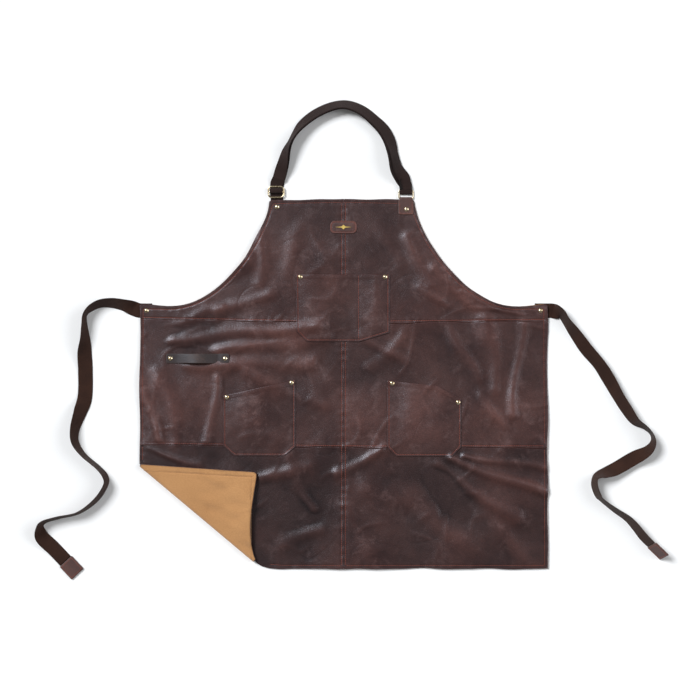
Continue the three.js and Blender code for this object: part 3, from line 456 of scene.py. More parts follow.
def near(x, y, line):
    """Distance from each point to a polyline, and how far along it the nearest place is."""
    line = np.asarray(line, float)
    best, place, start = np.full(np.shape(x), 1e9), np.zeros(np.shape(x)), 0.0
    for a, b in zip(line[:-1], line[1:]):
        d = b - a
        length = np.hypot(*d)
        t = np.clip(((x - a[0]) * d[0] + (y - a[1]) * d[1]) / length**2, 0, 1)
        gap = np.hypot(x - a[0] - t * d[0], y - a[1] - t * d[1])
        place = np.where(gap < best, start + t * length, place)
        best = np.minimum(best, gap)
        start += length
    return best, place


# each fold: from, to, half-width and height of its crest
folds = np.array([
    [-330, 96, -60, 108, 17, 3.4], [-250, 62, -40, 84, 14, 2.6], [-300, 22, -60, 40, 16, 2.8],
    [-200, 10, -30, -30, 15, 2.0], [-392, 20, -372, -100, 12, 2.8], [-352, 10, -330, -104, 15, 2.4],
    [-262, 0, -256, -110, 10, 2.2], [-300, 190, -190, 262, 18, 2.8], [-250, 140, -150, 190, 16, 2.2],
    [-360, 136, -240, 150, 10, 1.4], [-170, 220, -150, 330, 14, 1.8], [-120, 240, -60, 330, 16, 1.6],
    [50, 350, 110, 235, 18, 1.8], [120, 300, 170, 200, 14, 2.2], [180, 232, 250, 160, 13, 2.8],
    [235, 190, 300, 148, 9, 2.2], [150, 190, 210, 150, 11, 1.8], [262, 146, 350, 140, 9, 1.6],
    [225, 112, 255, 20, 15, 2.8], [290, 116, 300, 0, 19, 2.6], [355, 110, 350, -60, 15, 2.8],
    [262, -20, 330, -80, 14, 2.2], [120, 96, 60, 30, 15, 1.8], [30, 100, 130, 60, 12, 1.6],
    [210, -150, 395, -206, 13, 4.2], [180, -176, 350, -262, 16, 3.0], [240, -138, 400, -160, 9, 2.4],
    [-10, -172, 84, -138, 10, 2.8], [60, -190, 170, -252, 24, 2.6], [150, -262, 260, -330, 26, 2.4],
    [20, -230, 60, -340, 20, 1.8], [-110, -150, -60, -240, 16, 2.2], [-170, -196, -60, -166, 11, 2.2],
    [-140, -330, -40, -300, 18, 1.8], [-390, -134, -270, -156, 9, 2.2], [300, -260, 380, -350, 20, 2.0],
])


def lie(x, y):
    """How far the leather stands off where it would lie flat: crests h exp(-(d/w)^2) along
    the folds, in a plane bent by slow waves, and long, middle and small swells. It lies flat
    at the bib's top, at the turned corner and round the name patch."""
    bent_x, bent_y = x + 13 * swell(x, y, 190, 1), y + 13 * swell(x, y, 190, 2)
    up = 1.5
    for high, size, seed in ((1.4, 210, 3), (0.5, 96, 4), (0.14, 40, 5), (0.03, 20, 10)):
        up = up + high * swell(x, y, size, seed)
    for x0, y0, x1, y1, wide, high in folds:
        d, along = near(bent_x, bent_y, [[x0, y0], [x1, y1]])
        wave = 0.75 + 0.25 * np.sin(along / np.hypot(x1 - x0, y1 - y0) * 5 + x0)
        up = up + 1.5 * high * wave * bell(d, 0.8 * wide)
    ridge = np.maximum(0, 1 - 1.5 * np.abs(swell(bent_x, bent_y, 110, 8))) ** 2
    up = up + 0.8 * ridge * smooth(1.6 * swell(x, y, 160, 9) + 0.25)
    crease = bell(swell(x, y, 120, 6), 0.07) * smooth(swell(x, y, 150, 7) * 1.2)
    up = np.maximum(0, up - 0.25 * crease)
    fold_d, _ = near(x, y, [FOLD_START, FOLD_END])
    patch_d = np.hypot(x / 1.6, y - PATCH_Y)
    up = up * (0.06 + 0.94 * smooth((350 - y) / 70)) * smooth((fold_d - 4) / 70)
    return up * (0.03 + 0.97 * smooth((patch_d - 19) / 34))


def sample(line, count=None, step=None, corners=False):
    """Points at even steps along a polyline, or with each corner kept."""
    line = np.asarray(line, float)
    length = travelled(line)
    at = np.linspace(0, length[-1], count or int(length[-1] / step) + 1)
    if corners:
        at = np.unique(np.round(np.r_[at, length], 2))
    return np.stack([np.interp(at, length, line[:, 0]), np.interp(at, length, line[:, 1])], 1)


def inset(line, distance):
    """A polyline moved to its left: each corner goes (n1 + n2) d / (1 + n1.n2)."""
    line = np.asarray(line, float)
    d = np.diff(line, axis=0)
    n = np.stack([-d[:, 1], d[:, 0]], 1) / np.hypot(*d.T)[:, None]
    a, b = np.vstack([n[:1], n]), np.vstack([n, n[-1:]])
    return line + (a + b) * distance / (1 + (a * b).sum(1, keepdims=True))


def armhole(side):
    """Cubic Bezier from the bib's corner to the waist's, with short straight ends."""
    corner = 148 if side < 0 else 141
    t = np.linspace(0, 1, 25)[:, None]
    a, b, c, d = np.array([[corner, 364], [corner + 10, 297.6], [243, 141], [366, 156]], float)
    curve = a * (1 - t) ** 3 + 3 * b * t * (1 - t) ** 2 + 3 * c * t * t * (1 - t) + d * t**3
    points = np.vstack([[corner - 3, 366.5], curve, [402, 160], [406, 156]])
    return points * (side, 1)


def at_fold(along, inside):
    return FOLD_START + np.multiply.outer(along, FOLD_ALONG) + np.multiply.outer(inside, FOLD_INSIDE)


waist_line = {s: np.array([[0, WAIST_SEAM[0]], [s * 406.1, WAIST_SEAM[s]]]) for s in (-1, 1)}
skirt_line = {s: np.array([[0, SKIRT_SEAM[0]], [s * 407.1, SKIRT_SEAM[s]]]) for s in (-1, 1)}
fold_in = at_fold(np.array([4.5, FOLD_LENGTH - 4.9]), np.array([6.0, 6.0]))
hem_line = {
    -1: np.vstack([
        [0, HEM], [-122, HEM], [-149, -367], [-163, -364], [-171.5, -359.5], [-175.5, -354.5],
        fold_in[1], fold_in[0], [-407.2, -158.6]]),
    1: np.array([[0, HEM], [408, HEM]]),
}
ends = {"left": -1, "right": 1}

# stitch rows: the border, both sides of the centre seam, and above the two cross seams
border = {
    s: np.vstack([
        [0, TOP - 7], armhole(s)[:1] + (-6 * s, -7), inset(armhole(s)[2:-2], -s * 7),
        [s * 399.5, 149], [s * 400.5, -119]])
    for s in (-1, 1)
}
rows = [border[-1], border[1]]
rows += [np.array([[s * 3.9, TOP - 8], [s * 3.9, HEM + 8]]) for s in (-1, 1)]
for seam in (WAIST_SEAM, SKIRT_SEAM):
    rows += [np.array([[s * 4, seam[0] + 3.6], [s * 399, seam[s] + 3.6]]) for s in (-1, 1)]
rows += [np.array([[400.5, -131], [401, -362], [6, -362]])]
rows += [np.array([[-6, -362], [-122, -362], [-146, -360]])]
rows += [np.array([[-400.5, -125], [-400.8, -152]])]


def sewn(x, y, lines, depth=0.55):
    """The pull of stitch rows: a channel exp(-(d/1.7)^2), and puckers that wave along it."""
    down = np.zeros(np.shape(x))
    for line in lines:
        below, above = np.array([x.min(), y.min()]) - 20, np.array([x.max(), y.max()]) + 20
        if (line.min(0) > above).any() or (line.max(0) < below).any():
            continue
        d, along = near(x, y, line)
        down -= depth * bell(d, 1.7)
        down += 0.17 * bell(d, 7) * np.sin(along / 3.1 + 2 * np.sin(along / 23))
    return down


def crowd(length, step):
    """Places from 0 to 1 at even steps, closer at both ends for a rounded edge."""
    edge = np.array([0, 0.3, 0.8, 1.6, 3.0]) / length
    inner = np.linspace(3.0 / length, 1 - 3.0 / length, int(length / step))
    return np.r_[edge[:-1], inner, 1 - edge[-2::-1]]


def rounded(gap, radius):
    """Drop of a rounded edge at a distance from it: r - sqrt(r^2 - (r - d)^2)."""
    back = np.clip(radius - gap, 0, radius)
    return radius - np.sqrt(radius**2 - back**2)


def slab(top, low):
    """Two grids joined round their border: points, faces turned outwards."""
    n, m = top.shape[:2]
    i, j = np.indices((n - 1, m - 1))
    cell = np.stack([i * m + j, (i + 1) * m + j, (i + 1) * m + j + 1, i * m + j + 1], -1)
    cell = cell.reshape(-1, 4)
    first, last = np.arange(n) * m, (n - 1) * m + np.arange(1, m)
    ring = np.r_[first, last, first[:-1][::-1] + m - 1, np.arange(m - 1)[:0:-1]]
    on = np.roll(ring, -1)
    wall = np.stack([ring, ring + n * m, on + n * m, on], -1)
    mid = top[n // 2, m // 2]
    a, b = top[n // 2 + 1, m // 2] - mid, top[n // 2, m // 2 + 1] - mid
    faces = np.vstack([cell, cell[:, ::-1] + n * m, wall])
    if a[0] * b[1] - a[1] * b[0] < 0:
        faces = faces[:, ::-1]
    return np.vstack([top.reshape(-1, 3), low.reshape(-1, 3)]), faces


def even(line, places):
    """Points at places from 0 to 1 along a line."""
    points = sample(line, 800)
    return np.stack([np.interp(places * 799, np.arange(800), points[:, k]) for k in (0, 1)], 1)


def ruled(lower, upper, t):
    """(1-t) A(s) + t B(s) between two rows of points."""
    return lower[:, None] * (1 - t)[None, :, None] + upper[:, None] * t[None, :, None]


def under_line(line):
    """The area between a line and y = 0, counted twice."""
    return ((line[1:, 0] - line[:-1, 0]) * (line[1:, 1] + line[:-1, 1])).sum()


def panel(name, lower, upper, lap, finish):
    """A ruled sheet between two edges, lifted by the lie of the leather, with rounded borders.
    lap is how far its lower border stands over the next panel."""
    wide = np.hypot(*np.diff(np.asarray(upper, float), axis=0).T).sum()
    tall = np.hypot(*(np.asarray(upper[0]) - lower[0]))
    s, t = crowd(wide, 2.7), crowd(tall, 2.7)
    a, b = even(lower, s), even(upper, s)
    flat = ruled(a, b, t)
    gap = np.minimum(np.minimum(s, 1 - s)[:, None] * wide, np.minimum(t, 1 - t)[None] * tall)
    x, y = flat[..., 0], flat[..., 1]
    sway = 1.1 * np.exp(-gap / 5)
    x, y = x + sway * swell(x, y, 80, 11), y + sway * swell(x, y, 80, 12)
    over = lap * bell(t * tall, 9)[None] + 0 * x
    z = lie(x, y) + sewn(x, y, rows) + over
    top = np.dstack([x, y, FACE + z - rounded(gap, 1.1)])
    low = np.dstack([x, y, LEATHER_LOW + np.maximum(0, z)])
    points, faces = slab(top, low)
    rim = np.tile(np.exp(-gap / 1.7).ravel(), 2)
    made = add(name + "_skin", points, list(faces), finish, "apron", rim=rim)
    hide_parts(name)
    area = abs(under_line(b) - under_line(a)) / 2e6
    return made, np.ptp(flat.reshape(-1, 2), axis=0) / 1000, area


# pebbled grain, slow changes of tone where the wax has pulled up, and scuffs
grain, grain_in, grain_out = group("leather_grain", ("Scale",), ("Height", "Tone", "Scuff"))
place = here(grain)
cells = node(
    grain, "TexVoronoi", {"Vector": place, "Scale": grain_in["Scale"]}, feature="DISTANCE_TO_EDGE")
small = maths(grain, "MINIMUM", maths(grain, "MULTIPLY", cells.outputs["Distance"], 3.0), 1.0)
fine = noise(grain, place, 120.0, 6.0, Roughness=0.7)
slow = noise(grain, place, 9.0, 5.0, Roughness=0.6)
scuff = noise(grain, place, 24.0, 8.0, Roughness=0.72, Distortion=0.4)
relief = maths(grain, "MULTIPLY_ADD", small, 0.5, maths(grain, "MULTIPLY", fine, 0.9))
grain.links.new(relief, grain_out["Height"])
grain.links.new(slow, grain_out["Tone"])
grain.links.new(span(grain, scuff, 0.54, 0.72), grain_out["Scuff"])


def leather_finish(name, dark, light, wear_and_crest_light, edge_tone, rough=0.5, hollow_shade=1.0, low=0.0038):
    """Grain over two tones, paler where it is scuffed, with a painted highlight on the convex crests and an edge
    tone at the edges.
    Painted shade and light by height: at the height low, in metres, it is darkened by the hollow factor, and
    higher up it is painted paler."""
    made, tree, shader = material(
        name, coat_weight=0.05, coat_roughness=0.45, specular_ior_level=0.55,
        specular_tint=(0.88, 0.91, 1.0, 1.0))
    pebble = node(tree, "Group", node_tree=grain)
    pebble.inputs["Scale"].default_value = 330.0
    relief, tone, scuff = (pebble.outputs[label] for label in ("Height", "Tone", "Scuff"))
    colour = mix(tree, span(tree, tone, 0.35, 0.66), dark, light)
    colour = mix(tree, maths(tree, "MULTIPLY", scuff, 0.55), colour, wear_and_crest_light)
    colour = mix(tree, 1.0, colour, span(tree, relief, 0.45, 0.95, 0.72, 1.14), "MULTIPLY")
    height = node(tree, "SeparateXYZ", {0: here(tree)}).outputs["Z"]
    # painted shade and light by height: darker in the hollows near the height low, paler on the crests above
    shade = span(tree, height, low, low + 0.0057, hollow_shade, 1.25 - 0.25 * hollow_shade)
    colour = mix(tree, 1.0, colour, shade, "MULTIPLY")
    # painted highlight: convex crests go a quarter of the way to the pale colour that also marks the real scuffs
    crest_highlight = span(tree, node(tree, "NewGeometry").outputs["Pointiness"], 0.49, 0.53)
    colour = mix(tree, maths(tree, "MULTIPLY", crest_highlight, 0.25), colour, wear_and_crest_light)
    # edge tone along the rim: on the trim the paler cut edge; on the apron, skirt and pocket leathers the edge
    # colour deepened into painted shade along the seams
    rim = node(tree, "Attribute", attribute_name="rim").outputs["Fac"]
    colour = mix(tree, maths(tree, "MULTIPLY", rim, 0.75), colour, edge_tone)
    gloss = maths(tree, "MULTIPLY_ADD", tone, 0.2, rough - 0.05)
    gloss = maths(tree, "MULTIPLY_ADD", scuff, 0.1, gloss)
    join(tree, shader, base_color=colour, roughness=gloss, normal=bumps(tree, relief, 0.4, 0.0007))
    return made


# dark and light tones, the colour of scuffs and painted crest highlights, the edge tone, roughness, and the
# hollow factor of painted shade. The deep red edge tone here is partly painted seam shade.
apron_finish = leather_finish(
    "apron_leather", rgb(50, 24, 20), rgb(88, 54, 47), rgb(120, 90, 86), rgb(50, 16, 12), 0.31, 0.5)
skirt_finish = leather_finish(
    "skirt_leather", rgb(40, 18, 15), rgb(74, 44, 38), rgb(104, 76, 72), rgb(42, 13, 10), 0.31, 0.42)

body_panels = []
for name, s in ends.items():
    upper = np.vstack([[s * SEAM_GAP, TOP], armhole(s)])
    over, under = (s * SEAM_GAP, SEAM_GAP), (s * SEAM_GAP, -SEAM_GAP)
    for part, lower, higher, lap, finish in (
        ("bib", waist_line[s] + over, upper, 0.7, apron_finish),
        ("waist", skirt_line[s] + over, waist_line[s] + under, 0.7, apron_finish),
        ("skirt", hem_line[s] + (s * SEAM_GAP, 0), skirt_line[s] + under, 0.0, skirt_finish),
    ):
        body_panels.append(panel(f"{part}_panel_{name}", lower, higher, lap, finish))

# ---- Lining and turned corner ----
# Tan cotton twill, bagged out to the leather's edges. At the lower left the corner is turned
# up over the front: the twill goes round the roll and shows, with the leather under it.

LINING = 1.4
TWILL_PITCH, YARN_PITCH = 1.5, 0.7
FLAP_REACH = FLAP_ACROSS * 0.982


def twill_finish():
    """Slanting wales with finer yarns across them, browner where the edge is turned in."""
    made, tree, shader = material(
        "lining_twill", roughness=0.95, sheen_weight=0.3,
        specular_ior_level=0.2)
    flat = node(tree, "SeparateXYZ", {0: here(tree)}).outputs
    slant = maths(tree, "ADD", flat["X"], maths(tree, "MULTIPLY", flat["Y"], 1.7))
    wale = maths(tree, "SINE", maths(tree, "MULTIPLY", slant, 6283.2 / TWILL_PITCH / 1.97))
    yarn = maths(tree, "SINE", maths(tree, "MULTIPLY", flat["Y"], 6283.2 / YARN_PITCH))
    slub, fade = noise(tree, here(tree), 420.0, 3.0), noise(tree, here(tree), 12.0, 4.0)
    tone = maths(tree, "MULTIPLY_ADD", slub, 0.5, maths(tree, "MULTIPLY", fade, 0.5))
    tone = maths(tree, "MULTIPLY_ADD", wale, 0.16, tone)
    colour = mix(tree, tone, rgb(152, 105, 63), rgb(208, 158, 106))
    rim = node(tree, "Attribute", attribute_name="rim").outputs["Fac"]
    colour = mix(tree, maths(tree, "MULTIPLY", rim, 0.85), colour, rgb(98, 62, 36))
    high = maths(tree, "MULTIPLY_ADD", yarn, 0.2, maths(tree, "ADD", wale, slub))
    join(tree, shader, base_color=colour, normal=bumps(tree, high, 0.6, 0.0003))
    return made


twill = twill_finish()
flap_edge = at_fold(
    np.array([8.0, FLAP_ALONG, FOLD_LENGTH - 4.9]), np.array([FOLD_RADIUS, FLAP_REACH, FOLD_RADIUS]))
flap_rows = [inset(flap_edge, -8.0)[[0, 1]], inset(flap_edge, -8.0)[[1, 2]]]


def inside_of(x, y):
    """Distance inside the fold line, and along it."""
    dx, dy = x - FOLD_START[0], y - FOLD_START[1]
    return dx * FOLD_INSIDE[0] + dy * FOLD_INSIDE[1], dx * FOLD_ALONG[0] + dy * FOLD_ALONG[1]


def flap_lift(x, y):
    """Height of the flap's upper face: 2R less a smooth drop, slow waves, and sewn puckers."""
    inside, along = inside_of(x, y)
    wave = 1.5 * swell(x, y, 120, 21) + 0.6 * swell(x, y, 46, 22)
    fade = smooth((inside - FOLD_RADIUS) / 30)
    edge_d, edge_at = near(x, y, flap_edge)
    ripple = 0.35 * bell(edge_d, 12) * np.sin(edge_at / 2.4 + 1.5 * np.sin(along / 19))
    ripple += 1.5 * swell(0.4 * x, y, 30, 23) * smooth(swell(x, y, 90, 24) + 0.6)
    across = 1.2 * bell(inside - 60 - 0.12 * along, 9)
    across += 1.5 * bell(inside - 96 + 0.2 * (along - 187), 7)
    free_d, free_at = near(x, y, flap_edge[1:])
    reach = np.hypot(*(flap_edge[2] - flap_edge[1]))
    curl = 9 * bell(free_d, 42) * np.sin(np.pi * free_at / reach)
    waves = wave + across + 0.8 + ripple + sewn(x, y, flap_rows, 1.5) + lie(x, y) + curl
    return 2 * FOLD_RADIUS - FLAP_DROP * smooth((inside - FOLD_RADIUS) / 70.5) + fade * waves


def turned_corner(outer, inner, past):
    """A sheet round the fold: y' = R - r sin(a), z = R - r cos(a) for a from 0 to pi, then
    the flap, which narrows from the fold to a blunt tip. past is how far its edges stand out."""
    turn = np.linspace(0, np.pi, 21)
    edge = crowd(FLAP_REACH - FOLD_RADIUS, 2.4)[1:]
    across = FOLD_RADIUS + (FLAP_REACH + past - FOLD_RADIUS) * edge
    level = np.r_[7.0, FOLD_RADIUS + 0 * turn, across]
    start = FLAP_ALONG * np.maximum(level - 5, 0.5) / (FLAP_ACROSS - 5) - past
    finish = FOLD_LENGTH - (FOLD_LENGTH - FLAP_ALONG) * level / FLAP_ACROSS + past
    finish = finish - 13 * np.sin(np.pi * np.clip((level - 8) / 124, 0, 1) ** 0.65)
    share = crowd(280, 2.6)
    along = start[None] + (finish - start)[None] * share[:, None]
    gap = np.minimum(share, 1 - share)[:, None] * (finish - start)[None]
    gap = np.minimum(gap, np.r_[99 + 0 * turn, 99, (1 - edge) * (FLAP_ACROSS - FOLD_RADIUS)][None])
    side = np.r_[-1, -np.cos(turn), 1 + 0 * across]
    grids = []
    for radius, sign in ((outer, 1), (inner, -1)):
        inside = np.r_[7.0, FOLD_RADIUS - radius * np.sin(turn), across][None] + 0 * along
        z = FOLD_RADIUS + radius * side[None] - sign * rounded(gap, 0.6) * side
        xy = at_fold(along, inside)
        lift = flap_lift(xy[..., 0], xy[..., 1]) - 2 * FOLD_RADIUS
        lift[:, : len(turn) + 1] = 0
        grids.append(np.dstack([xy, z + lift]))
    points, faces = slab(*grids)
    return points, faces, np.tile(np.exp(-gap / 1.2).ravel(), 2)


halves = []
for s in (-1, 1):
    lower = even(hem_line[s], crowd(700, 5.0))
    upper = even(np.vstack([[0, TOP], armhole(s)]), crowd(700, 5.0))
    halves.append(0.9955 * ruled(lower, upper, crowd(600, 5.0)))
flat = np.vstack([halves[0][:0:-1], halves[1]])
z = np.maximum(0, lie(flat[..., 0], flat[..., 1]) - 0.35)
points, faces = slab(np.dstack([flat, z + LINING - 0.05]), np.dstack([flat, z + 0.12]))
more_points, more_faces, more_rim = turned_corner(FOLD_RADIUS, FOLD_RADIUS - LINING, 0.0)
lining = add(
    "lining_twill_sheet", np.vstack([points, more_points]),
    list(np.vstack([faces, more_faces + len(points)])), twill, "apron",
    rim=np.r_[np.zeros(len(points)), more_rim])
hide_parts("lining")

points, faces, rim = turned_corner(4.3, 2.5, 1.4)
turned_leather = add(
    "skirt_panel_left_turned", points, list(faces), skirt_finish, "apron", rim=rim)
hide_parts("skirt_panel_left")

# ---- Pockets ----
# Patch pockets of the same leather, 1.6 mm thick, sewn on round three sides with their lower
# corners cut off. The mouths are hemmed, stand a little open, and are riveted at both ends.

TRIM_LOW, TRIM = 3.8, 1.6


def cap_rings(name, outline, top, thick, finish, step=2.6, edge=0.9):
    """Rings of a plan outline that shrink on its middle, s from 1 to 0, over and under, with
    the upper face at top(x, y) and the lower face that thickness below it."""
    line = np.vstack([outline, outline[:1]]).astype(float)
    if under_line(line) > 0:
        line = line[::-1]
    line = sample(line, step=step, corners=True)[:-1]
    middle = (line.max(0) + line.min(0)) / 2
    reach = np.hypot(*(line - middle).T).min()
    inwards = np.r_[0, 0.25, 0.6, 1.1, 2.0, np.linspace(3.2, reach * 0.97, int(reach / step))]
    s = 1 - inwards / reach
    xy = middle + (line - middle) * s[:, None, None]
    gap = ((1 - s) * reach)[:, None] + 0 * xy[..., 0]
    high = top(xy[..., 0], xy[..., 1])
    over = np.dstack([xy, high - rounded(gap, edge)])
    under = np.dstack([xy, high - thick])[::-1]
    points = np.vstack([under.reshape(-1, 3), over.reshape(-1, 3)])
    rim = np.r_[np.exp(-gap[::-1] / 1.0).ravel(), np.exp(-gap / 1.0).ravel()]
    return add(name, points, tube_faces(2 * len(s), len(line)), finish, "apron", rim=rim)


# the pockets' painted shade by height starts at their own face, 6.2 mm up; their dark edge tone is partly painted
# shade along the sewn edges
pocket_finish = leather_finish(
    "pocket_leather", rgb(48, 24, 20), rgb(84, 52, 46), rgb(116, 88, 84), rgb(50, 16, 12), 0.32, 0.6,
    0.0062)

# each pocket: its outline, the line of its mouth, and how far its front stands out
pockets = {
    "chest_pocket": (
        [[-95, 218], [-93.4, 104], [-73, 84], [32, 84], [92, 102], [92, 218]],
        [[-95, 218], [92, 218]], 4.2),
    "hip_pocket_left": (
        [[-240, -23.5], [-240, -123.5], [-218, -143.5], [-117.6, -143.5], [-95.6, -125.5],
         [-95.6, 8.3]],
        [[-240, -23.5], [-95.6, 8.3]], 3.6),
    "hip_pocket_right": (
        [[87.2, 7], [87.2, -126.5], [105.2, -144.5], [216.6, -144.5], [234.6, -126.5], [234.6, -31],
         [187, -4]],
        [[87.2, 7], [187, -4], [234.6, -31]], 3.8),
}
pen_slot = np.array([[30, 216], [30, 90]])
pocket_pieces, pocket_top, pocket_rows = {}, {}, {}
for name, (outline, mouth, puff) in pockets.items():
    sides = np.array(outline[:6], float)
    row_list = [inset(sides, 3.6)]
    if name == "chest_pocket":
        row_list.append(pen_slot)

    def top(x, y, sides=sides, mouth=mouth, puff=puff, row_list=row_list, name=name):
        """The sewn margin lies flat; inside it the front swells, most of all at the mouth."""
        d, _ = near(x, y, sides)
        if name == "chest_pocket":
            d = np.minimum(d, 0.75 * near(x, y, pen_slot)[0] + 2)
        below = np.interp(x, *np.transpose(mouth)) - y
        swollen = puff * smooth((d - 4) / 44) * (0.45 + 0.55 * bell(below, 60))
        hem = 0.5 * smooth((9 - below) / 2.5)
        soft = 0.5 * swell(x, y, 60, 31) * smooth((d - 3) / 20)
        soft += 0.08 * swell(x, y, 24, 32) * smooth((d - 3) / 12)
        out = np.maximum(0, swollen + hem + soft) + 0.6 * sewn(x, y, row_list, 0.6)
        return TRIM_LOW + TRIM + 0.15 + lie(x, y) + out

    piece = cap_rings(name + "_skin", outline, top, TRIM, pocket_finish)
    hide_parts(name)
    pocket_pieces[name], pocket_top[name], pocket_rows[name] = piece, top, row_list

# ---- Towel loop, name patch, ring tab and tie tips ----
# A bowed strip of darker leather riveted at its feet, and offcuts of redder leather: a sewn
# patch with a foil ornament, a tab folded round the ring, and a tip sewn over each tie's end.

trim_finish = leather_finish(
    "trim_leather", rgb(50, 25, 19), rgb(78, 46, 37), rgb(122, 88, 76), rgb(112, 58, 42), 0.46)
loop_finish = leather_finish(
    "loop_leather", rgb(28, 16, 12), rgb(42, 27, 21), rgb(84, 64, 54), rgb(96, 50, 38), 0.56)

LOOP_LEFT, LOOP_LENGTH, LOOP_Y, LOOP_WIDTH = -353.5, 126.0, 50.6, 19.5
x = np.linspace(0, LOOP_LENGTH, 90)
bow = 9 * np.sin(np.pi * np.clip((x - 16) / 94, 0, 1)) ** 2
end = np.minimum(x, LOOP_LENGTH - x)
seat = lie(LOOP_LEFT + x, LOOP_Y + 0 * x)
loop_z = TRIM_LOW + TRIM / 2 + bow + seat * (1 - smooth((end - 14) / 12)) + 0.25
lean = np.radians(14) * np.sin(np.pi * np.clip((x - 14) / 98, 0, 1)) ** 2
middle = [LOOP_LEFT + x, LOOP_Y + 0 * x, loop_z + 9 * np.sin(lean)]
towel_loop, _, _ = band(
    "towel_loop_strip", np.stack([*middle, 0 * x, np.cos(lean), -np.sin(lean)], 1),
    LOOP_WIDTH - 5 * np.exp(-end / 0.9), loop_finish, "apron",
    TRIM - 0.8 * np.exp(-end / 0.5))
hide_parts("towel_loop")


def round_outline(half_x, half_y, corner, steps=10):
    """A rounded rectangle's outline, anticlockwise."""
    a = np.linspace(0, np.pi / 2, steps)
    quarter = np.stack([half_x - corner + corner * np.cos(a), half_y - corner + corner * np.sin(a)], 1)
    left, right = quarter * (-1, 1), quarter * (1, -1)
    return np.vstack([quarter, left[::-1], -quarter, right[::-1]])


def patch_top(x, y):
    edge = near(x, y, np.vstack([patch_line, patch_line[:1]]))[0]
    groove = 0.5 * bell(edge - 2.6, 0.9)
    return TRIM_LOW + TRIM + lie(0 * x, PATCH_Y + 0 * y) - groove


patch_line = round_outline(26.5, 12.25, 9.0) + (0, PATCH_Y)
patch = cap_rings("name_patch_skin", patch_line, patch_top, TRIM, trim_finish, 1.2, 0.7)
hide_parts("name_patch")

# the tab's route: up the face, round the ring's lower bar, and down behind the leather
TAB_THICK = 1.4
front = straight((RING_X, 337.3, 4.6), (RING_X, 364.5, 4.6), -1, 26)
tab_samples = np.vstack([
    front, around(RING_X, HINGE_Y + 0.2, RING_Z, -2.0, -1, 14),
    straight((RING_X, 364.5, 0.75), (RING_X, 338.5, 0.75), -1, 12)])
reach = travelled(tab_samples[:, :3])
end = np.minimum(reach, reach[-1] - reach)
waisted = 6.7 * smooth((np.abs(reach - reach[len(front) + 7]) - 5) / 3.5)
tab, _, _ = band(
    "ring_tab_strip", tab_samples, 23.9 + waisted - 5 * np.exp(-end / 1.0), trim_finish,
    "apron", TAB_THICK - 0.6 * np.exp(-end / 0.5))
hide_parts("ring_tab")

tips = {}
for name, s in ends.items():
    samples = ties[name][3]
    last, before = samples[-1], samples[-4]
    run = (last[:3] - before[:3]) * (1, 1, 0)
    run = unit(run)
    w = unit(last[3:])
    w = w - run * (w @ run)
    w = unit(w)
    up = np.cross(run, w)
    middle = last[:3] + run * 17.8
    middle[2] = 0.3 + 16.5 * abs(w[2]) + 2 * abs(up[2])
    t = np.r_[-17.5, -17.2, -16.7, np.linspace(-16, 16, 14), 16.7, 17.2, 17.5]
    end = 17.5 - np.abs(t)
    samples = np.hstack([middle + t[:, None] * run, np.tile(w, (len(t), 1))])
    tip, _, _ = band(
        f"tie_tip_{name}_leather", samples, 33 - 1.6 * np.exp(-end / 0.5), trim_finish,
        "apron", 3.8 - 1.4 * np.exp(-end / 0.4))
    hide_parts(f"tie_tip_{name}")
    tips[name] = (tip, middle, run, w, up)

# ---- Ring, slider and rivets ----
# Antique brass: a bent wire ring, a cast three-bar slider, and two-part rivets whose domed
# caps are 9 mm across. The brass is pale, with browner patches where it has dulled.


def brass_finish():
    made, tree, shader = material("antique_brass", metallic=1.0)
    patina, scratch = noise(tree, here(tree), 260.0, 5.0), noise(tree, here(tree), 1500.0, 2.0)
    colour = mix(tree, span(tree, patina, 0.36, 0.6), rgb(176, 152, 112), rgb(250, 234, 200))
    gloss = maths(tree, "MULTIPLY_ADD", patina, 0.24, 0.14)
    join(tree, shader, base_color=colour, roughness=gloss, normal=bumps(tree, scratch, 0.12, 0.0002))
    return made


brass = brass_finish()
BAR_RADIUS = 1.25


def wire_loop(half_x, half_y, corner, centre, wide, thick):
    """An oval section n w cos(a) - Z h sin(a) carried round a rounded rectangle."""
    line = round_outline(half_x, half_y, corner, 9)
    line = line[np.hypot(*(line - np.roll(line, 1, 0)).T) > 1e-6]
    along = np.roll(line, -1, 0) - np.roll(line, 1, 0)
    along = unit(along)
    out = np.stack([along[:, 1], -along[:, 0], 0 * along[:, 0]], 1)
    a = circle(16)[:, None]
    section = out[:, None] * wide * np.cos(a) - UP * thick * np.sin(a)
    points = np.hstack([line, 0 * line[:, :1]])[:, None] + section
    return (points + centre).reshape(-1, 3), tube_faces(len(line), 16, True)


points, faces = wire_loop(14.1, 8.1, 2.4, (RING_X, 377.8, RING_Z), 1.1, 1.1)
ring = add("strap_ring_wire", points, faces, brass, "neck_loop")
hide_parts("strap_ring")

points, faces = wire_loop(15.1, 10.7, 6.4, (SLIDER_X, SLIDER_Y, SLIDER_Z), 1.6, 1.3)
a = circle(16)
bar_x = np.linspace(-15, 15, 9)
bar = np.broadcast_arrays(bar_x[:, None], BAR_RADIUS * np.cos(a), BAR_RADIUS * np.sin(a))
bar = np.stack(bar, -1).reshape(-1, 3) + (SLIDER_X, SLIDER_Y, SLIDER_Z)
faces += [f + len(points) for f in tube_faces(len(bar_x), 16)]
slider = add("strap_slider_cast", np.vstack([points, bar]), faces, brass, "slider")
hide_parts("strap_slider")


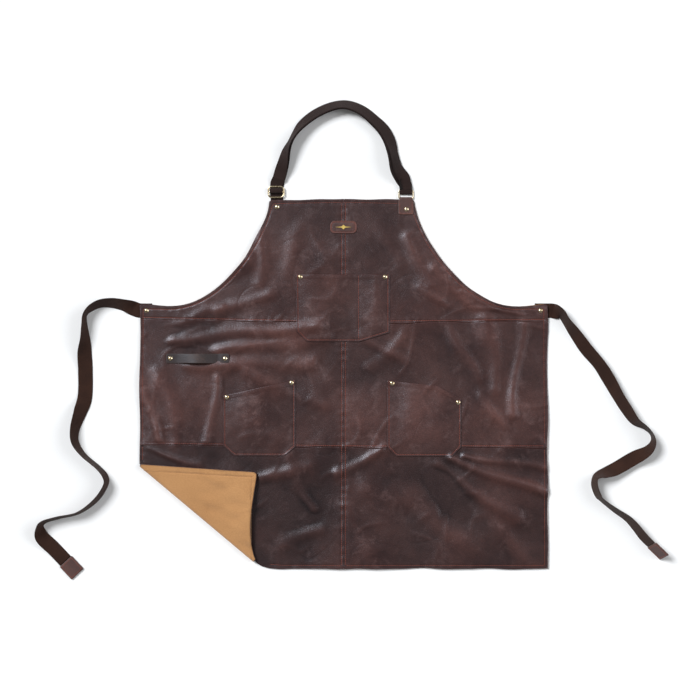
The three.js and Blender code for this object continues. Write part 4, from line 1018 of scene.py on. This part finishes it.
def turned(profile, centre, sides=28):
    """A profile of radius and height turned about Z, from its rim to its middle."""
    radius, height = np.array(profile).T
    a = circle(sides)
    points = [np.outer(radius, np.cos(a)), np.outer(radius, np.sin(a)), np.outer(height, 1 + 0 * a)]
    return np.stack(points, -1).reshape(-1, 3) + centre, tube_faces(len(radius), sides)


cap_profile = [
    (0.02, -0.5), (3.0, -0.5), (4.3, -0.3), (4.5, 0.05), (4.42, 0.35), (4.1, 0.62), (3.9, 0.68),
    (3.7, 0.9), (3.2, 1.35), (2.5, 1.75), (1.6, 2.02), (0.7, 2.15), (0.02, 2.2)]
back_profile = [
    (0.02, 0.0), (2.6, 0.04), (3.7, 0.16), (4.15, 0.5), (4.2, 0.8), (3.9, 1.1), (0.02, 1.15)]


def body_top(x, y):
    return FACE + lie(x, y)


def tab_top(x, y):
    return 5.25 + 0 * x


def loop_top(x, y):
    """The towel loop's feet, at its left and right rivets."""
    return np.where(x < LOOP_LEFT + LOOP_LENGTH / 2, loop_z[6], loop_z[-7]) + TRIM / 2


chest, hip_left, hip_right = (pocket_top[name] for name in pockets)
rivets = {
    "bib_strap": (-132.8, 352.9, body_top), "ring_tab": (125.6, 348.1, tab_top),
    "waist_left": (-393, 146, body_top), "waist_right": (393, 146, body_top),
    "chest_left": (-86, 213, chest), "chest_right": (83, 213, chest),
    "hip_left_outer": (-232.5, -26.5, hip_left), "hip_left_inner": (-103.6, 2.3, hip_left),
    "hip_right_inner": (97.2, 1, hip_right), "hip_right_outer": (228.6, -37, hip_right),
    "towel_loop_left": (-345.1, LOOP_Y, loop_top), "towel_loop_right": (-235.9, LOOP_Y, loop_top),
}
for name, (x, y, seat_of) in rivets.items():
    at = np.array([float(x)]), np.array([float(y)])
    points, faces = turned(cap_profile, (x, y, float(seat_of(*at)[0])))
    cap = add(f"rivet_cap_{name}", points, faces, brass, "apron")
    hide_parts(f"rivet_{name}")
    points, faces = turned(back_profile, (x, y, max(0.0, float(lie(*at)[0]) - 0.35) + 0.02))
    cap = add(f"rivet_back_cap_{name}", points, faces, brass, "apron")
    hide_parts(f"rivet_back_{name}")

foil_finish, tree, shader = material("gold_foil", metallic=0.5)
speck = noise(tree, here(tree), 900.0, 3.0)
join(
    tree, shader, base_color=mix(tree, speck, rgb(214, 172, 76), rgb(255, 230, 140)),
    roughness=maths(tree, "MULTIPLY_ADD", speck, 0.4, 0.15))
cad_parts["patch_ornament"].data.materials.clear()
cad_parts["patch_ornament"].data.materials.append(foil_finish)

# ---- Stitching ----
# Waxed rust thread, each stitch about 3 mm long, let into the leather at both ends. The
# lining's own rows, round the turned corner, are sewn in tan.


def thread_finish(name, dark, light):
    made, tree, shader = material(
        name, roughness=0.7, sheen_weight=0.2, specular_ior_level=0.3)
    ply, fade = noise(tree, here(tree), 1300.0, 2.0), noise(tree, here(tree), 14.0, 3.0)
    tone = maths(tree, "MULTIPLY_ADD", ply, 0.5, maths(tree, "MULTIPLY", fade, 0.5))
    colour = mix(tree, tone, dark, light)
    join(tree, shader, base_color=colour, normal=bumps(tree, ply, 0.5, 0.0002))
    return made


rust_thread = thread_finish("rust_thread", rgb(108, 46, 35), rgb(166, 86, 66))
tan_thread = thread_finish("tan_thread", rgb(122, 84, 48), rgb(170, 128, 84))


def stitch_shapes(centres, along, up, length, radius):
    """Copies of one six-sided bead: five rings at v from -1 to 1, of radius r (1.04 - v^6),
    raised by r (0.35 - 1.3 v^4), placed on each centre with its own directions."""
    v = np.array([-1.0, -0.72, 0.0, 0.72, 1.0])[:, None]
    a = circle(6)
    size = radius * (1.04 - np.abs(v) ** 6)
    high = size * np.sin(a) * 0.8 + radius * (0.35 - 1.3 * v**4)
    local = np.stack([v * length / 2 + 0 * a, size * 1.05 * np.cos(a), high], -1).reshape(-1, 3)
    side = np.cross(up, along)
    basis = np.stack([along, side, np.cross(along, side)], 1)
    points = centres[:, None] + np.einsum("vk,nkc->nvc", local, basis)
    one = tube_faces(5, 6)
    quads = np.array([f for f in one if len(f) == 4])
    caps = np.array([f for f in one if len(f) == 6])
    step = (np.arange(len(centres)) * len(local))[:, None, None]
    faces = [*(quads + step).reshape(-1, 4), *(caps + step).reshape(-1, 6)]
    return points.reshape(-1, 3), faces


def sew(name, jobs, finish, pitch=3.7, length=3.0, radius=0.5):
    """Stitches at even steps along plan rows, each lying on its own surface."""
    centres, along = [], []
    for line, top in jobs:
        at = sample(line, step=pitch)
        middle = (at[1:] + at[:-1]) / 2
        run = at[1:] - at[:-1]
        run = unit(run)
        fore, aft = middle + run * 1.2, middle - run * 1.2
        z0, z1 = top(aft[:, 0], aft[:, 1]), top(fore[:, 0], fore[:, 1])
        centres.append(np.column_stack([middle, (z0 + z1) / 2]))
        along.append(np.column_stack([run * 2.4, z1 - z0]))
    centres, along = np.vstack(centres), np.vstack(along)
    along = unit(along)
    points, faces = stitch_shapes(centres, along, np.tile(UP, (len(centres), 1)), length, radius)
    return add(name, points, faces, finish, "apron")


def seam_top(x, y):
    gap = np.minimum(np.abs(y - 122 - np.abs(x) * 0.012), np.abs(y + 126))
    return FACE + lie(x, y) + sewn(x, y, rows) + 0.7 * bell(gap, 9)


sew("stitching_body", [(line, seam_top) for line in rows], rust_thread)
pocket_jobs = [(line, pocket_top[name]) for name in pockets for line in pocket_rows[name]]
sew("stitching_pockets", pocket_jobs, rust_thread, 3.3, 2.7, 0.45)
ring_line = round_outline(23.9, 9.65, 6.6) + (0, PATCH_Y)
ring_line = np.vstack([ring_line, ring_line[:1]])
tab_line = np.array([[-12.4, 362], [-12.6, 340], [12.6, 340], [12.4, 362]]) + (RING_X, 0)
trim_jobs = [(ring_line, patch_top), (tab_line, tab_top)]
sew("stitching_trim", trim_jobs, rust_thread, 2.7, 2.2, 0.36)
flap_jobs = [(line, flap_lift) for line in flap_rows]
sew("stitching_lining", flap_jobs, tan_thread, 3.0, 2.5, 0.45)
for name, (tip, middle, run, w, up) in tips.items():
    face = up if up[2] > 0 else -up
    square = [[-14.5, -13.5], [14.5, -13.5], [14.5, 13.5], [-14.5, 13.5], [-14.5, -13.5]]
    edge = sample(square, step=2.9)
    at, go = (edge[1:] + edge[:-1]) / 2, edge[1:] - edge[:-1]
    go = unit(go)
    centres = middle + at[:, :1] * run + at[:, 1:] * w + face * 1.86
    along = go[:, :1] * run + go[:, 1:] * w
    points, faces = stitch_shapes(centres, along, np.tile(face, (len(at), 1)), 2.4, 0.4)
    stitching = add(f"stitching_tip_{name}", points, faces, rust_thread, "apron")
    tips[name] = (tip, stitching)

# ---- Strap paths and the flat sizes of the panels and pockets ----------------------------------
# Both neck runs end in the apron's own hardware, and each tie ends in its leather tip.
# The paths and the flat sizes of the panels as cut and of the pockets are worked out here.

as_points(neck_path)
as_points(return_path)
for name, s in ends.items():
    tie, path, length, _ = ties[name]
    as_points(path)
for made, flat, area in body_panels:
    folded = made.name.startswith("skirt_panel_left")
    flat = (0.408, 0.248) if folded else tuple(map(float, flat))
for name, piece in pocket_pieces.items():
    outline = np.array(pockets[name][0] + pockets[name][0][:1]) / 1000
    area = float(abs(under_line(outline)) / 2)
